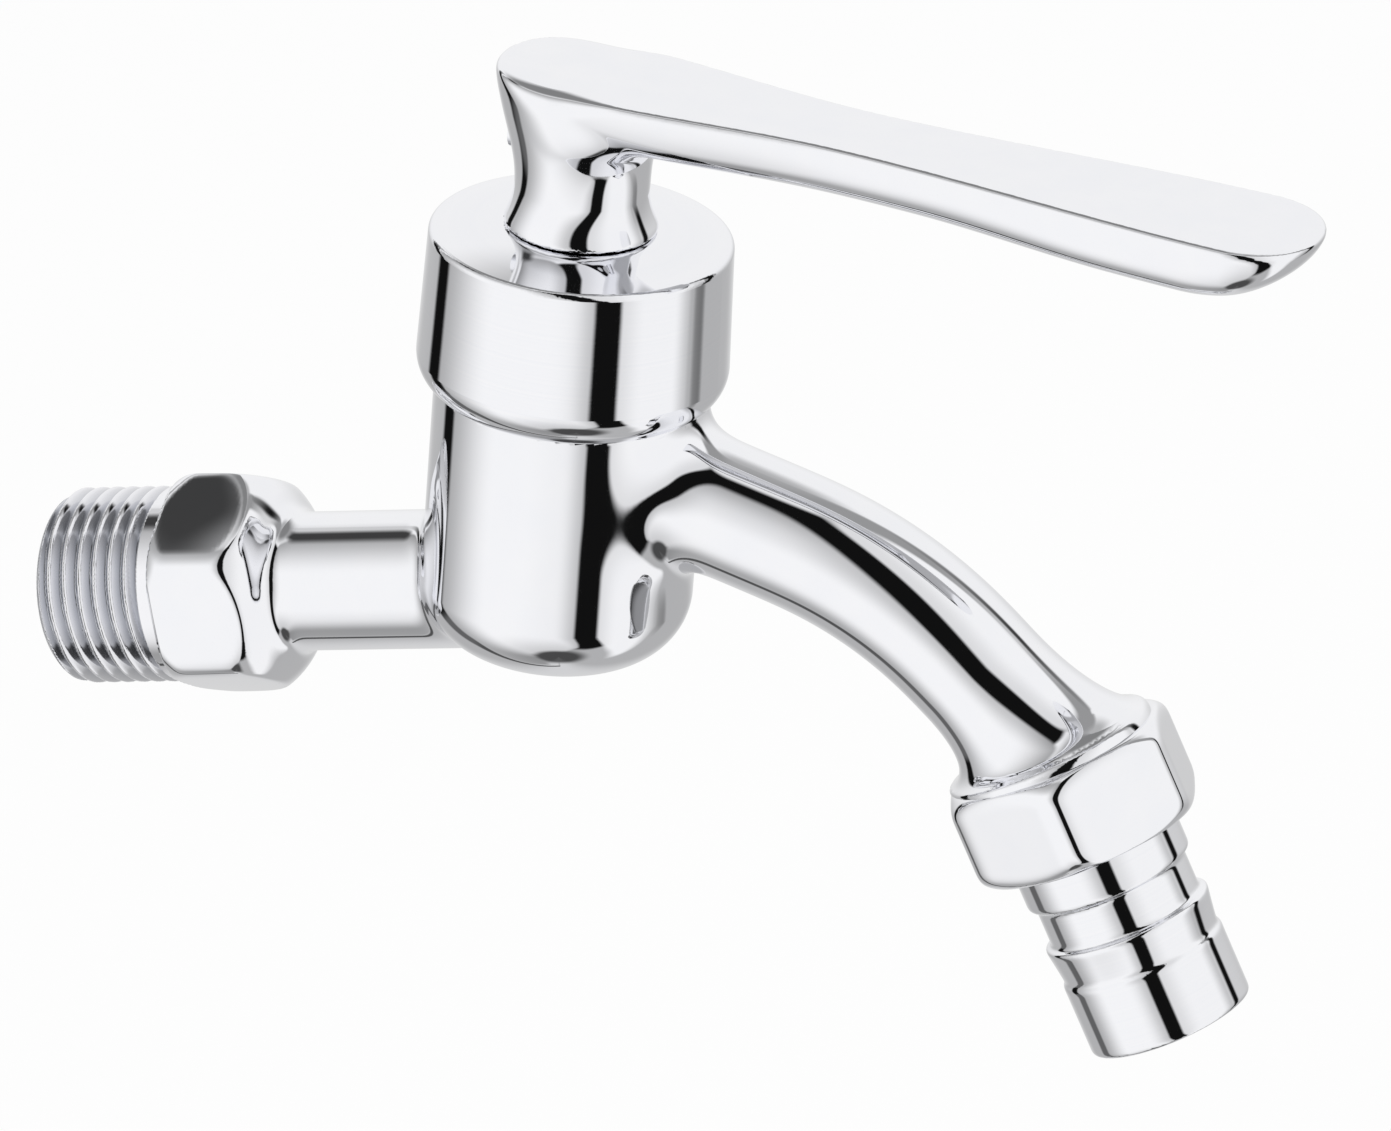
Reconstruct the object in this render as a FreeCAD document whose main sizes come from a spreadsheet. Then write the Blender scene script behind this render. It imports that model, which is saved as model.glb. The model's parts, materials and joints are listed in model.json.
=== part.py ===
"""A half-inch lever tap with a curved spout, a union nut and a hose nozzle, in millimetres.

The origin is the centre of the inlet's end face. X runs from the inlet towards the outlet, Z is up,
and the tap lies in the plane Y = 0. The tower that holds the headwork, the cap and the lever leans
towards the outlet. Pieces of the tower stand on its axis, and heights on it are measured from where
it crosses the inlet's axis. Pieces of the outlet hang on its axis, and depths on it are measured
from the rim of the flare.
"""
import FreeCAD, Part
import math
import os
import re

import Sketcher

SIZES = {
    # inlet: half-inch pipe thread, spanner hexagon and neck
    "thread_radius": 10.4775,
    "thread_pitch": 1.814,
    "thread_depth": 1.16,
    "thread_flank_width": 1.34,
    "inlet_length": 14.1,
    "inlet_chamfer": 1.0,
    "inlet_bore": 7.0,
    "hex_flats": 22.1,
    "hex_length": 8.16,
    "hex_bevel_start": 10.8,
    "hex_bevel_angle": 30,
    "shoulder_round": 4.4,
    "thread_runout": 1.6,
    "neck_radius": 7.36,
    "neck_bore": 5.0,
    "neck_cove": 1.1,
    # tower: leaning barrel with a domed foot
    "tower_x": 56.89,
    "tower_lean": 15.15,
    "tower_radius": 14.3,
    "tower_top": 22.18,
    "tower_foot": -0.3,
    "foot_round": 7.0,
    "foot_turn": 65.65,
    "neck_joint_round": 1.7,
    "spout_joint_round": 4.0,
    "chamber_bore": 7.2,
    "chamber_floor": 4.6,
    "seat_height": 7.0,
    "seat_thickness": 1.4,
    "seat_bore": 5.2,
    "tower_bore": 9.7,
    "tower_thread_length": 4.6,
    # spout: straight run, bend and flare
    "spout_height": 15.57,
    "spout_drop": 25.07,
    "spout_radius": 7.15,
    "spout_bore": 4.6,
    "spout_straight": 27.0,
    "spout_bend": 44.2,
    "spout_turn": 31,
    "bore_turn": 15,
    "flare_length": 9.65,
    "flare_shift": 4.35,
    "flare_settle": 0.9,
    "outlet_lean": 14.4,
    "rim_radius": 11.6,
    "outlet_length": 5.9,
    "outlet_bore": 6.2,
    "outlet_bore_rise": 4.0,
    # headwork: shell, gasket, seals, discs and spindle
    "thread_play": 0.03,
    "face_play": 0.03,
    "turning_play": 0.05,
    "barrel_radius": 9.3,
    "barrel_lift": 0.6,
    "barrel_bore": 8.2,
    "gasket_radius": 12.3,
    "gasket_thickness": 1.0,
    "flange_thickness": 2.3,
    "spanner_flats": 17.0,
    "spanner_length": 5.5,
    "stem_radius": 7.5,
    "stem_top": 37.2,
    "window_width": 8.6,
    "window_foot": 12.6,
    "window_height": 4.6,
    "seal_bore": 5.0,
    "seal_thickness": 2.2,
    "disc_radius": 8.1,
    "disc_thickness": 3.0,
    "disc_play": 0.2,
    "port_inner": 1.9,
    "port_outer": 6.4,
    "port_half_angle": 38,
    "driver_width": 3.0,
    "driver_length": 13.0,
    "driver_depth": 1.4,
    "foot_thickness": 2.4,
    "foot_radius": 7.9,
    "washer_thickness": 0.5,
    "spindle_radius": 5.55,
    "ring_wire": 0.67,
    "ring_groove_depth": 1.35,
    "ring_groove_width": 2.0,
    "lower_ring_height": 23.0,
    "upper_ring_height": 28.5,
    "clip_width": 1.0,
    "clip_groove_depth": 0.9,
    "clip_thickness": 0.8,
    "clip_gap": 3.0,
    "spline_radius": 4.0,
    "spline_depth": 0.45,
    "spline_top": 52.6,
    "spline_count": 20,
    # cap: bell over the headwork
    "cap_foot_radius": 14.4,
    "cap_foot_bore": 12.8,
    "cap_foot_rise": 3.5,
    "cap_ledge": 5.6,
    "cap_foot_round": 4.0,
    "cap_radius": 16.35,
    "cap_top_radius": 15.9,
    "cap_top": 39.5,
    "cap_crown": 1.4,
    "cap_edge_round": 0.7,
    "cap_wall": 1.7,
    "cap_hole": 6.5,
    "cap_hub_radius": 9.2,
    "cap_hub_depth": 4.2,
    "cap_seal_wire": 0.9,
    # lever: flat-topped arm on a waisted neck
    "lever_foot": 41.0,
    "lever_foot_radius": 8.0,
    "lever_waist": 7.42,
    "lever_waist_rise": 4.4,
    "lever_top": 58.0,
    "arm_depth": 6.25,
    "arm_under_round": 3.8,
    "tip_sweep": 13.0,
    "tip_edge": 1.5,
    "arm_edge_round": 0.6,
    "arm_neck_round": 2.4,
    "head_radius": 8.5,
    "head_back": 1.65,
    "arm_waist_place": 29.0,
    "arm_waist": 5.85,
    "tip_place": 72.3,
    "tip_radius": 8.4,
    "bush_foot": 42.2,
    "bush_top": 53.2,
    "bush_radius": 5.6,
    "bush_flange_radius": 6.4,
    "bush_flange": 0.8,
    "screw_radius": 2.0,
    "screw_height": 49.6,
    "screw_length": 3.4,
    "screw_socket": 2.0,
    "screw_socket_depth": 2.0,
    "plug_thickness": 0.8,
    # outlet: union nut, gasket and hose nozzle
    "nut_flats": 23.6,
    "nut_turn": 11,
    "nut_gap": 0.2,
    "nut_height": 10.5,
    "nut_corner_round": 0.7,
    "nut_chamfer": 0.9,
    "nut_lip": 1.7,
    "nut_lip_play": 0.15,
    "washer_bore": 6.2,
    "washer_radius": 10.0,
    "nozzle_washer_thickness": 1.5,
    "nozzle_flange": 1.5,
    "nozzle_bore": 6.2,
    "collar_radius": 9.05,
    "collar_end": 15.0,
    "waist_radius": 8.3,
    "waist_start": 15.9,
    "waist_end": 19.2,
    "ridge_start": 20.1,
    "ridge_end": 23.9,
    "ridge_foot_radius": 8.7,
    "tail_start": 24.5,
    "tail_radius": 8.87,
    "nozzle_end": 31.9,
    "nozzle_edge_round": 0.6,
    "land_round": 0.35,
}

FUNCTIONS = ("sin", "cos", "tan", "sqrt")
TINY = 0.01
FLARE_STEPS = 5

# places along the spout's middle line, in the plane Y = 0
ROOT_X = "tower_x + spout_height * sin(tower_lean)"
ROOT_Z = "spout_height * cos(tower_lean)"
BEND_X = f"{ROOT_X} + spout_straight * cos(spout_drop)"
BEND_Z = f"{ROOT_Z} - spout_straight * sin(spout_drop)"
HUB_X = f"{BEND_X} - spout_bend * sin(spout_drop)"
HUB_Z = f"{BEND_Z} - spout_bend * cos(spout_drop)"
FLARE_X = f"{HUB_X} + spout_bend * sin(spout_drop + spout_turn)"
FLARE_Z = f"{HUB_Z} + spout_bend * cos(spout_drop + spout_turn)"
RIM_X = f"{FLARE_X} + flare_length * sin(outlet_lean) + flare_shift * cos(outlet_lean)"
RIM_Z = f"{FLARE_Z} - flare_length * cos(outlet_lean) + flare_shift * sin(outlet_lean)"

# the two leaning frames: where each one starts, and its turn about Y
TOWER = (("tower_x", "0", "0"), "tower_lean")
OUTLET = ((RIM_X, "0", RIM_Z), "180 - outlet_lean")

# heights up the tower's axis, each piece on the one below
SEAL_TOP = "seat_height + seal_thickness"
FIXED_TOP = f"{SEAL_TOP} + disc_thickness"
MOVING_FOOT = f"{FIXED_TOP} + face_play"
MOVING_TOP = f"{MOVING_FOOT} + disc_thickness"
SPINDLE_FOOT = f"{MOVING_TOP} + face_play"
SPINDLE_SHOULDER = f"{SPINDLE_FOOT} + foot_thickness"
WASHER_FOOT = f"{SPINDLE_SHOULDER} + face_play"
WASHER_TOP = f"{WASHER_FOOT} + washer_thickness"
FLANGE_FOOT = "tower_top + gasket_thickness"
FLANGE_TOP = f"{FLANGE_FOOT} + flange_thickness"
SPANNER_TOP = f"{FLANGE_TOP} + spanner_length"
CLIP_FOOT = "stem_top + face_play"
CLIP_TOP = f"{CLIP_FOOT} + clip_width"

WAIST = "(lever_foot + lever_waist_rise)"

# depths down the outlet's axis
NUT_FOOT = "nut_gap + nut_height"
GASKET_END = "outlet_length + nozzle_washer_thickness"
FLANGE_END = f"{GASKET_END} + nozzle_flange"
LIP_START = f"{NUT_FOOT} - nut_lip"

doc = FreeCAD.newDocument("lever_tap")
sheet = doc.addObject("Spreadsheet::Sheet", "Sizes")


def fill_sheet():
    """Writes each driving size into the sheet under its own name."""
    for row, (word, value) in enumerate(SIZES.items(), 1):
        sheet.set(f"A{row}", str(value))
        sheet.setAlias(f"A{row}", word)
    doc.recompute()


def bound(text):
    """The expression with every size named as a cell of the sheet."""
    return re.sub(r"[a-z_]+", lambda word: word[0] if word[0] in FUNCTIONS else "Sizes." + word[0], text)


def number(text):
    """The value that an expression has now."""
    return float(sheet.evalExpression(bound(text)))


def drive(item, path, text):
    """Ties one value of an object to an expression of sizes."""
    item.setExpression(path, bound(text))


def new_body(name, frame=None):
    """A body under its own label, placed in the tap's frame or in a leaning one."""
    body = doc.addObject("PartDesign::Body", name)
    body.Label = name
    if frame:
        place(body, frame)
    return body


def place(item, frame):
    """Stands an object on a leaning frame."""
    start, turn = frame
    base = FreeCAD.Vector(*[number(text) for text in start])
    item.Placement = FreeCAD.Placement(base, FreeCAD.Rotation(FreeCAD.Vector(0, 1, 0), number(turn)))
    for axis, text in zip("xyz", start):
        drive(item, f"Placement.Base.{axis}", text)
    drive(item, "Placement.Rotation.Angle", turn)


def sketch_on(body, name, role, shift=("0", "0", "0"), turn="0", about=(0, 0, -1)):
    """A sketch on one of the body's own planes, shifted, and turned about an axis of that plane."""
    sketch = body.newObject("Sketcher::SketchObject", name)
    plane = next(item for item in body.Origin.OriginFeatures if item.Role == role)
    sketch.AttachmentSupport = [(plane, "")]
    sketch.MapMode = "FlatFace"
    base = FreeCAD.Vector(*[number(text) for text in shift])
    turned_by = FreeCAD.Rotation(FreeCAD.Vector(*about), number(turn))
    sketch.AttachmentOffset = FreeCAD.Placement(base, turned_by)
    for axis, text in zip("xyz", shift):
        drive(sketch, f"AttachmentOffset.Base.{axis}", text)
    if turn != "0":
        drive(sketch, "AttachmentOffset.Rotation.Angle", turn)
    return sketch


def tower_sketch(body, name):
    """A sketch in the plane Y = 0 whose upright axis is the tower's."""
    return sketch_on(body, name, "XZ_Plane", ("tower_x", "0", "0"), "tower_lean")


def outlet_sketch(body, name):
    """A sketch in the plane Y = 0 whose upright axis points down the outlet."""
    return sketch_on(body, name, "XZ_Plane", (RIM_X, RIM_Z, "0"), "180 - outlet_lean")


def pin_point(sketch, piece, end, spot):
    """Holds one end of a line or arc at a place given by two expressions."""
    for kind, text in zip(("DistanceX", "DistanceY"), spot):
        index = sketch.addConstraint(Sketcher.Constraint(kind, piece, end, number(text)))
        drive(sketch, f"Constraints[{index}]", text)


def arc_between(start, stop, radius, side):
    """The short arc from start to stop with its centre on the given side of the way."""
    middle = (start + stop) * 0.5
    way = stop - start
    reach = math.sqrt(max(radius ** 2 - (way.Length / 2) ** 2, 0))
    left = FreeCAD.Vector(-way.y, way.x, 0).normalize()
    centre = middle + left * (reach if side == "left" else -reach)
    first, last = (start, stop) if side == "left" else (stop, start)
    angles = [math.atan2(spot.y - centre.y, spot.x - centre.x) for spot in (first, last)]
    if angles[1] < angles[0]:
        angles[1] += 2 * math.pi
    circle = Part.Circle(centre, FreeCAD.Vector(0, 0, 1), radius)
    return Part.ArcOfCircle(circle, angles[0], angles[1])


def outline(sketch, corners):
    """Draws a closed outline. A corner is a place, or a place, an arc's radius and its centre's side."""
    spots = [FreeCAD.Vector(number(corner[0]), number(corner[1]), 0) for corner in corners]
    ends = []
    for index, corner in enumerate(corners):
        start, stop = spots[index], spots[(index + 1) % len(spots)]
        if len(corner) == 2:
            ends.append((sketch.addGeometry(Part.LineSegment(start, stop)), 1, 2))
            continue
        piece = sketch.addGeometry(arc_between(start, stop, number(corner[2]), corner[3]))
        ends.append((piece, 1, 2) if corner[3] == "left" else (piece, 2, 1))
    for index, (piece, start, stop) in enumerate(ends):
        following = ends[(index + 1) % len(ends)]
        sketch.addConstraint(Sketcher.Constraint("Coincident", piece, stop, following[0], following[1]))
    for (piece, start, stop), corner in zip(ends, corners):
        pin_point(sketch, piece, start, corner[:2])
        if len(corner) > 2:
            index = sketch.addConstraint(Sketcher.Constraint("Radius", piece, number(corner[2])))
            drive(sketch, f"Constraints[{index}]", corner[2])


def circle_in(sketch, radius, spot=("0", "0")):
    """Draws a circle at a place of the sketch."""
    centre = FreeCAD.Vector(number(spot[0]), number(spot[1]), 0)
    piece = sketch.addGeometry(Part.Circle(centre, FreeCAD.Vector(0, 0, 1), number(radius)))
    pin_point(sketch, piece, 3, spot)
    index = sketch.addConstraint(Sketcher.Constraint("Radius", piece, number(radius)))
    drive(sketch, f"Constraints[{index}]", radius)


def hexagon(sketch, flats, first_corner):
    """Draws a hexagon about the sketch's origin with a corner at the given angle."""
    reach = f"{flats} / sqrt(3)"
    angles = [f"({first_corner} + {60 * step})" for step in range(6)]
    outline(sketch, [(f"{reach} * cos{angle}", f"{reach} * sin{angle}") for angle in angles])


def spin(body, name, sketch, axis="V_Axis", cut=False):
    """Spins a section about an axis of its sketch, as solid or as a cut."""
    kind = "PartDesign::Groove" if cut else "PartDesign::Revolution"
    feature = body.newObject(kind, name)
    feature.Profile = sketch
    feature.ReferenceAxis = (sketch, [axis])
    feature.Angle = 360
    return feature


def pad(body, name, sketch, length):
    """Raises a sketch to a height along its normal."""
    feature = body.newObject("PartDesign::Pad", name)
    feature.Profile = sketch
    drive(feature, "Length", length)
    return feature


def pocket(body, name, sketch, depth, back=False):
    """Cuts a sketch to a depth against its normal, or along it."""
    feature = body.newObject("PartDesign::Pocket", name)
    feature.Profile = sketch
    feature.Reversed = back
    drive(feature, "Length", depth)
    return feature


def round_edges(body, name, test, radius):
    """Rounds the edges that pass the test."""
    doc.recompute()
    base = body.Tip
    numbered = [(f"Edge{index}", edge) for index, edge in enumerate(base.Shape.Edges, 1)]
    edges = [edge_name for edge_name, edge in numbered if not edge.Degenerated and test(edge)]
    if not edges:
        raise ValueError(f"{name} found no edge to round")
    feature = body.newObject("PartDesign::Fillet", name)
    feature.Base = (base, edges)
    drive(feature, "Radius", radius)
    return feature


def is_ring(edge, radius, height):
    """True for a circle of this radius at this height of the body's own axis."""
    if not isinstance(edge.Curve, Part.Circle):
        return False
    return abs(edge.Curve.Radius - radius) < TINY and abs(edge.Curve.Center.z - height) < TINY


def rings(*pairs):
    """A test for the circles named by pairs of radius and height."""
    wanted = [(number(radius), number(height)) for radius, height in pairs]
    return lambda edge: any(is_ring(edge, *pair) for pair in wanted)


def turned(name, corners, frame):
    """A turned piece: a half section of radii and heights, spun about its own axis."""
    body = new_body(name, frame)
    sketch = sketch_on(body, f"{name}_section", "XZ_Plane")
    outline(sketch, corners)
    spin(body, f"{name}_turning", sketch)
    return body


def ring(name, inner, outer, foot, top, frame):
    """A flat ring."""
    return turned(name, [(inner, foot), (outer, foot), (outer, top), (inner, top)], frame)


def valve_body():
    """The one-piece casting: inlet, neck, tower, spout and outlet, with its waterway."""
    body = new_body("valve_body")
    inlet_solid(body)
    tower_solid(body)
    spout_solid(body)
    round_edges(body, "neck_joint", on_tower_wall(upper=False), "neck_joint_round")
    round_edges(body, "spout_joint", on_tower_wall(upper=True), "spout_joint_round")
    level_tower(body)
    outlet_solid(body)
    waterway(body)
    inlet_thread(body)
    return body


def inlet_solid(body):
    """The spanner hexagon with its rounded shoulder, then the thread blank and the neck."""
    flats = sketch_on(body, "hex_section", "YZ_Plane", ("0", "0", "inlet_length"))
    hexagon(flats, "hex_flats", "90")
    pad(body, "hex", flats, "hex_length + shoulder_round")
    end = number("inlet_length + hex_length + shoulder_round")
    round_edges(body, "shoulder", lambda edge: edge.BoundBox.XMin > end - TINY, "shoulder_round")
    bevel = sketch_on(body, "bevel_section", "XZ_Plane")
    run = "(hex_flats - hex_bevel_start) / tan(hex_bevel_angle)"
    outline(bevel, [
        ("inlet_length", "hex_bevel_start"), (f"inlet_length + {run}", "hex_flats"),
        ("inlet_length", "hex_flats"),
    ])
    spin(body, "hex_bevel", bevel, "H_Axis", cut=True)
    stem = sketch_on(body, "inlet_section", "XZ_Plane")
    lift = "(neck_radius + neck_cove)"
    across = f"({lift} - hex_flats / 2 + shoulder_round)"
    reach = f"(inlet_length + hex_length + sqrt(shoulder_round ^ 2 - {across} ^ 2))"
    outline(stem, [
        ("0", "0"), ("tower_x", "0"), ("tower_x", "neck_radius"),
        (f"{reach} + neck_cove", "neck_radius", "neck_cove", "right"), (reach, lift),
        ("inlet_length + inlet_chamfer", lift), ("inlet_length + inlet_chamfer", "thread_radius"),
        ("inlet_chamfer", "thread_radius"), ("0", "thread_radius - inlet_chamfer"),
    ])
    spin(body, "inlet_stem", stem, "H_Axis")


def tower_solid(body):
    """The leaning barrel. Its foot is a dome that runs into the wall through a smaller round."""
    section = tower_sketch(body, "tower_section")
    inset = "(tower_radius - foot_round)"
    dome = f"(foot_round + {inset} / cos(foot_turn))"
    outline(section, [
        ("0", f"-tower_foot + {inset} * tan(foot_turn) - {dome}", dome, "left"),
        (f"{inset} + foot_round * cos(foot_turn)", "-tower_foot - foot_round * sin(foot_turn)",
         "foot_round", "left"),
        ("tower_radius", "-tower_foot"), ("tower_radius", "tower_top + spout_joint_round"),
        ("0", "tower_top + spout_joint_round"),
    ])
    spin(body, "tower", section)


def spout_path(body, name, turn):
    """The spout's middle line: a straight run from the tower's axis, then a bend of this turn."""
    path = sketch_on(body, name, "XZ_Plane")
    end = (f"{HUB_X} + spout_bend * sin(spout_drop + {turn})",
           f"{HUB_Z} + spout_bend * cos(spout_drop + {turn})")
    spots = [(ROOT_X, ROOT_Z), (BEND_X, BEND_Z), end]
    places = [FreeCAD.Vector(number(x), number(z), 0) for x, z in spots]
    run = path.addGeometry(Part.LineSegment(places[0], places[1]))
    bend = path.addGeometry(arc_between(places[1], places[2], number("spout_bend"), "right"))
    path.addConstraint(Sketcher.Constraint("Coincident", run, 2, bend, 2))
    pin_point(path, run, 1, spots[0])
    pin_point(path, run, 2, spots[1])
    pin_point(path, bend, 1, spots[2])
    index = path.addConstraint(Sketcher.Constraint("Radius", bend, number("spout_bend")))
    drive(path, f"Constraints[{index}]", "spout_bend")
    return path


def round_section(body, name, spot, drop, radius):
    """A circle square to a line that drops at this angle, about a place in the plane Y = 0."""
    sketch = sketch_on(body, name, "YZ_Plane", ("0", spot[1], spot[0]), drop, (1, 0, 0))
    circle_in(sketch, radius)
    return sketch


def follow(body, name, radius, turn, cut=False):
    """A round bar, or a round bore, along the spout's middle line."""
    kind = "PartDesign::SubtractivePipe" if cut else "PartDesign::AdditivePipe"
    section = round_section(body, f"{name}_section", (ROOT_X, ROOT_Z), "spout_drop", radius)
    path = spout_path(body, f"{name}_path", turn)
    pipe = body.newObject(kind, name)
    pipe.Profile = section
    pipe.Spine = (path, ["Edge1", "Edge2"])
    return pipe


def flare_section(body, index, along, across, drop, radius):
    """One round section of the flare, placed by its distance from the rim in the outlet's frame."""
    spot = (f"{RIM_X} - {along} * sin(outlet_lean) - {across} * cos(outlet_lean)",
            f"{RIM_Z} + {along} * cos(outlet_lean) - {across} * sin(outlet_lean)")
    return round_section(body, f"flare_section_{index}", spot, drop, radius)


def spout_solid(body):
    """The round spout and the flare that opens onto the outlet's rim."""
    follow(body, "spout", "spout_radius", "spout_turn")
    start = round_section(body, "flare_start", (FLARE_X, FLARE_Z), "spout_drop + spout_turn", "spout_radius")
    full = "(90 - outlet_lean)"
    sections = []
    for step in range(1, FLARE_STEPS + 1):
        turn = f"({step} * 90 / {FLARE_STEPS})"
        settling = f"(1 - sin{turn}) ^ flare_settle"
        sections.append(flare_section(
            body, step, f"flare_length * (1 - sin{turn})", f"flare_shift * {settling}",
            f"{full} - ({full} - spout_drop - spout_turn) * {settling}",
            f"spout_radius + (rim_radius - spout_radius) * (1 - cos{turn})"))
    flare = body.newObject("PartDesign::AdditiveLoft", "flare")
    flare.Profile = start
    flare.Sections = sections


def on_tower_wall(upper):
    """A test for the seam of the spout with the tower's wall, or for the neck's below it."""
    start = FreeCAD.Vector(number("tower_x"), 0, 0)
    lean = math.radians(number("tower_lean"))
    axis = FreeCAD.Vector(math.sin(lean), 0, math.cos(lean))
    radius = number("tower_radius")
    foot = -number("tower_foot")
    split = number("spout_height - spout_radius") / 2

    def test(edge):
        spots = [spot - start for spot in edge.discretize(9)]
        heights = [spot.dot(axis) for spot in spots]
        away = [(spot - axis * height).Length for spot, height in zip(spots, heights)]
        slanting = max(heights) - min(heights) > TINY
        on_wall = all(abs(reach - radius) < TINY for reach, height in zip(away, heights) if height > foot)
        reaches_wall = any(abs(reach - radius) < TINY for reach in away)
        straight = isinstance(edge.Curve, Part.Line)
        in_part = (sum(heights) / len(heights) > split) == upper
        return slanting and on_wall and reaches_wall and in_part and not straight

    return test


def level_tower(body):
    """Faces the tower off flat where the cap stands, through the spout's rounding."""
    section = tower_sketch(body, "tower_facing_section")
    outline(section, [
        ("0", "tower_top"), ("tower_radius + 2 * spout_joint_round", "tower_top"),
        ("tower_radius + 2 * spout_joint_round", "tower_top + 2 * spout_joint_round"),
        ("0", "tower_top + 2 * spout_joint_round"),
    ])
    spin(body, "tower_facing", section, cut=True)


def outlet_solid(body):
    """The short threaded end below the flare's rim."""
    section = outlet_sketch(body, "outlet_section")
    outline(section, [
        ("0", "-face_play"), ("thread_radius - thread_play", "-face_play"),
        ("thread_radius - thread_play", "outlet_length"), ("0", "outlet_length"),
    ])
    spin(body, "outlet_end", section)


def waterway(body):
    """The bores: inlet, chamber, seat, headwork's seat in the tower, spout and outlet."""
    inlet = sketch_on(body, "inlet_bore_section", "XZ_Plane")
    step = "inlet_length + hex_length"
    outline(inlet, [
        ("0", "0"), ("tower_x", "0"), ("tower_x", "neck_bore"),
        (f"{step} + inlet_bore - neck_bore", "neck_bore"),
        (step, "inlet_bore"), ("0", "inlet_bore"),
    ])
    spin(body, "inlet_bore_cut", inlet, "H_Axis", cut=True)
    tower = tower_sketch(body, "tower_bore_section")
    thread_foot = "tower_top - tower_thread_length"
    above = "tower_top + spout_radius"
    outline(tower, [
        ("0", "-chamber_floor"), ("chamber_bore", "-chamber_floor"),
        ("chamber_bore", "seat_height - seat_thickness"), ("seat_bore", "seat_height - seat_thickness"),
        ("seat_bore", "seat_height"), ("tower_bore", "seat_height"), ("tower_bore", thread_foot),
        ("thread_radius", thread_foot), ("thread_radius", above), ("0", above),
    ])
    spin(body, "tower_bore_cut", tower, cut=True)
    follow(body, "spout_bore_cut", "spout_bore", "(spout_turn + bore_turn)", cut=True)
    outlet = outlet_sketch(body, "outlet_bore_section")
    outline(outlet, [
        ("0", "-outlet_bore_rise"), ("outlet_bore", "-outlet_bore_rise"), ("outlet_bore", "outlet_length"),
        ("0", "outlet_length"),
    ])
    spin(body, "outlet_bore_cut", outlet, cut=True)


def inlet_thread(body):
    """One V groove that winds along the inlet, a true helix of the pipe thread's pitch."""
    tooth = sketch_on(body, "thread_tooth", "XZ_Plane")
    crest = "thread_radius + thread_play"
    outline(tooth, [
        ("-thread_pitch", crest),
        ("-thread_pitch + thread_flank_width / 2", "thread_radius - thread_depth"),
        ("-thread_pitch + thread_flank_width", crest),
    ])
    thread = body.newObject("PartDesign::SubtractiveHelix", "thread_groove")
    thread.Profile = tooth
    thread.ReferenceAxis = (tooth, ["H_Axis"])
    thread.Mode = 0
    drive(thread, "Pitch", "thread_pitch")
    drive(thread, "Height", "inlet_length - thread_runout")


def headwork_shell():
    """The screwed-in brass shell that holds the discs and the spindle."""
    body = turned("headwork_shell", [
        ("barrel_bore", "seat_height + barrel_lift"), ("barrel_radius", "seat_height + barrel_lift"),
        ("barrel_radius", "tower_top - tower_thread_length"),
        ("thread_radius - thread_play", "tower_top - tower_thread_length"),
        ("thread_radius - thread_play", FLANGE_FOOT), ("gasket_radius", FLANGE_FOOT),
        ("gasket_radius", FLANGE_TOP), ("stem_radius", FLANGE_TOP), ("stem_radius", "stem_top"),
        ("spindle_radius + turning_play", "stem_top"),
        ("spindle_radius + turning_play", f"{WASHER_TOP} + face_play"),
        ("barrel_bore", f"{WASHER_TOP} + face_play"),
    ], TOWER)
    flats = sketch_on(body, "spanner_section", "XY_Plane", ("0", "0", FLANGE_TOP))
    hexagon(flats, "spanner_flats", "0")
    circle_in(flats, "spindle_radius + turning_play")
    pad(body, "spanner_flats_pad", flats, "spanner_length")
    window = sketch_on(body, "window_section", "YZ_Plane", ("0", "0", "-2 * barrel_radius"))
    outline(window, [
        ("-window_width / 2", "window_foot"), ("window_width / 2", "window_foot"),
        ("window_width / 2", "window_foot + window_height"),
        ("-window_width / 2", "window_foot + window_height"),
    ])
    pocket(body, "windows", window, "4 * barrel_radius", back=True)
    return body


def sector(sketch, sign):
    """Draws one water port of a disc: a quarter ring with its middle on the X axis."""
    cosine = f"{sign} * cos(port_half_angle)"
    sine = f"{sign} * sin(port_half_angle)"
    outline(sketch, [
        (f"port_inner * {cosine}", f"-port_inner * {sine}"),
        (f"port_outer * {cosine}", f"-port_outer * {sine}", "port_outer", "left"),
        (f"port_outer * {cosine}", f"port_outer * {sine}"),
        (f"port_inner * {cosine}", f"port_inner * {sine}", "port_inner", "right"),
    ])


def ported_disc(name, foot, top, turn, play):
    """A ceramic disc with two opposite ports."""
    body = ring(name, "port_inner / 2", f"disc_radius - {play}", foot, top, TOWER)
    ports = sketch_on(body, f"{name}_ports", "XY_Plane", ("0", "0", top), turn, (0, 0, 1))
    for sign in ("1", "-1"):
        sector(ports, sign)
    pocket(body, f"{name}_port_cut", ports, f"{top} - ({foot})")
    return body


def rotating_disc():
    """The upper disc. A slot across its top takes the spindle's driver."""
    body = ported_disc("rotating_disc", MOVING_FOOT, MOVING_TOP, "90", "disc_play")
    slot = sketch_on(body, "slot_section", "XY_Plane", ("0", "0", MOVING_TOP))
    half = "(driver_width / 2 + face_play)"
    outline(slot, [
        ("-disc_radius", f"-{half}"), ("disc_radius", f"-{half}"),
        ("disc_radius", half), ("-disc_radius", half),
    ])
    pocket(body, "slot", slot, "driver_depth + face_play")
    return body


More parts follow.
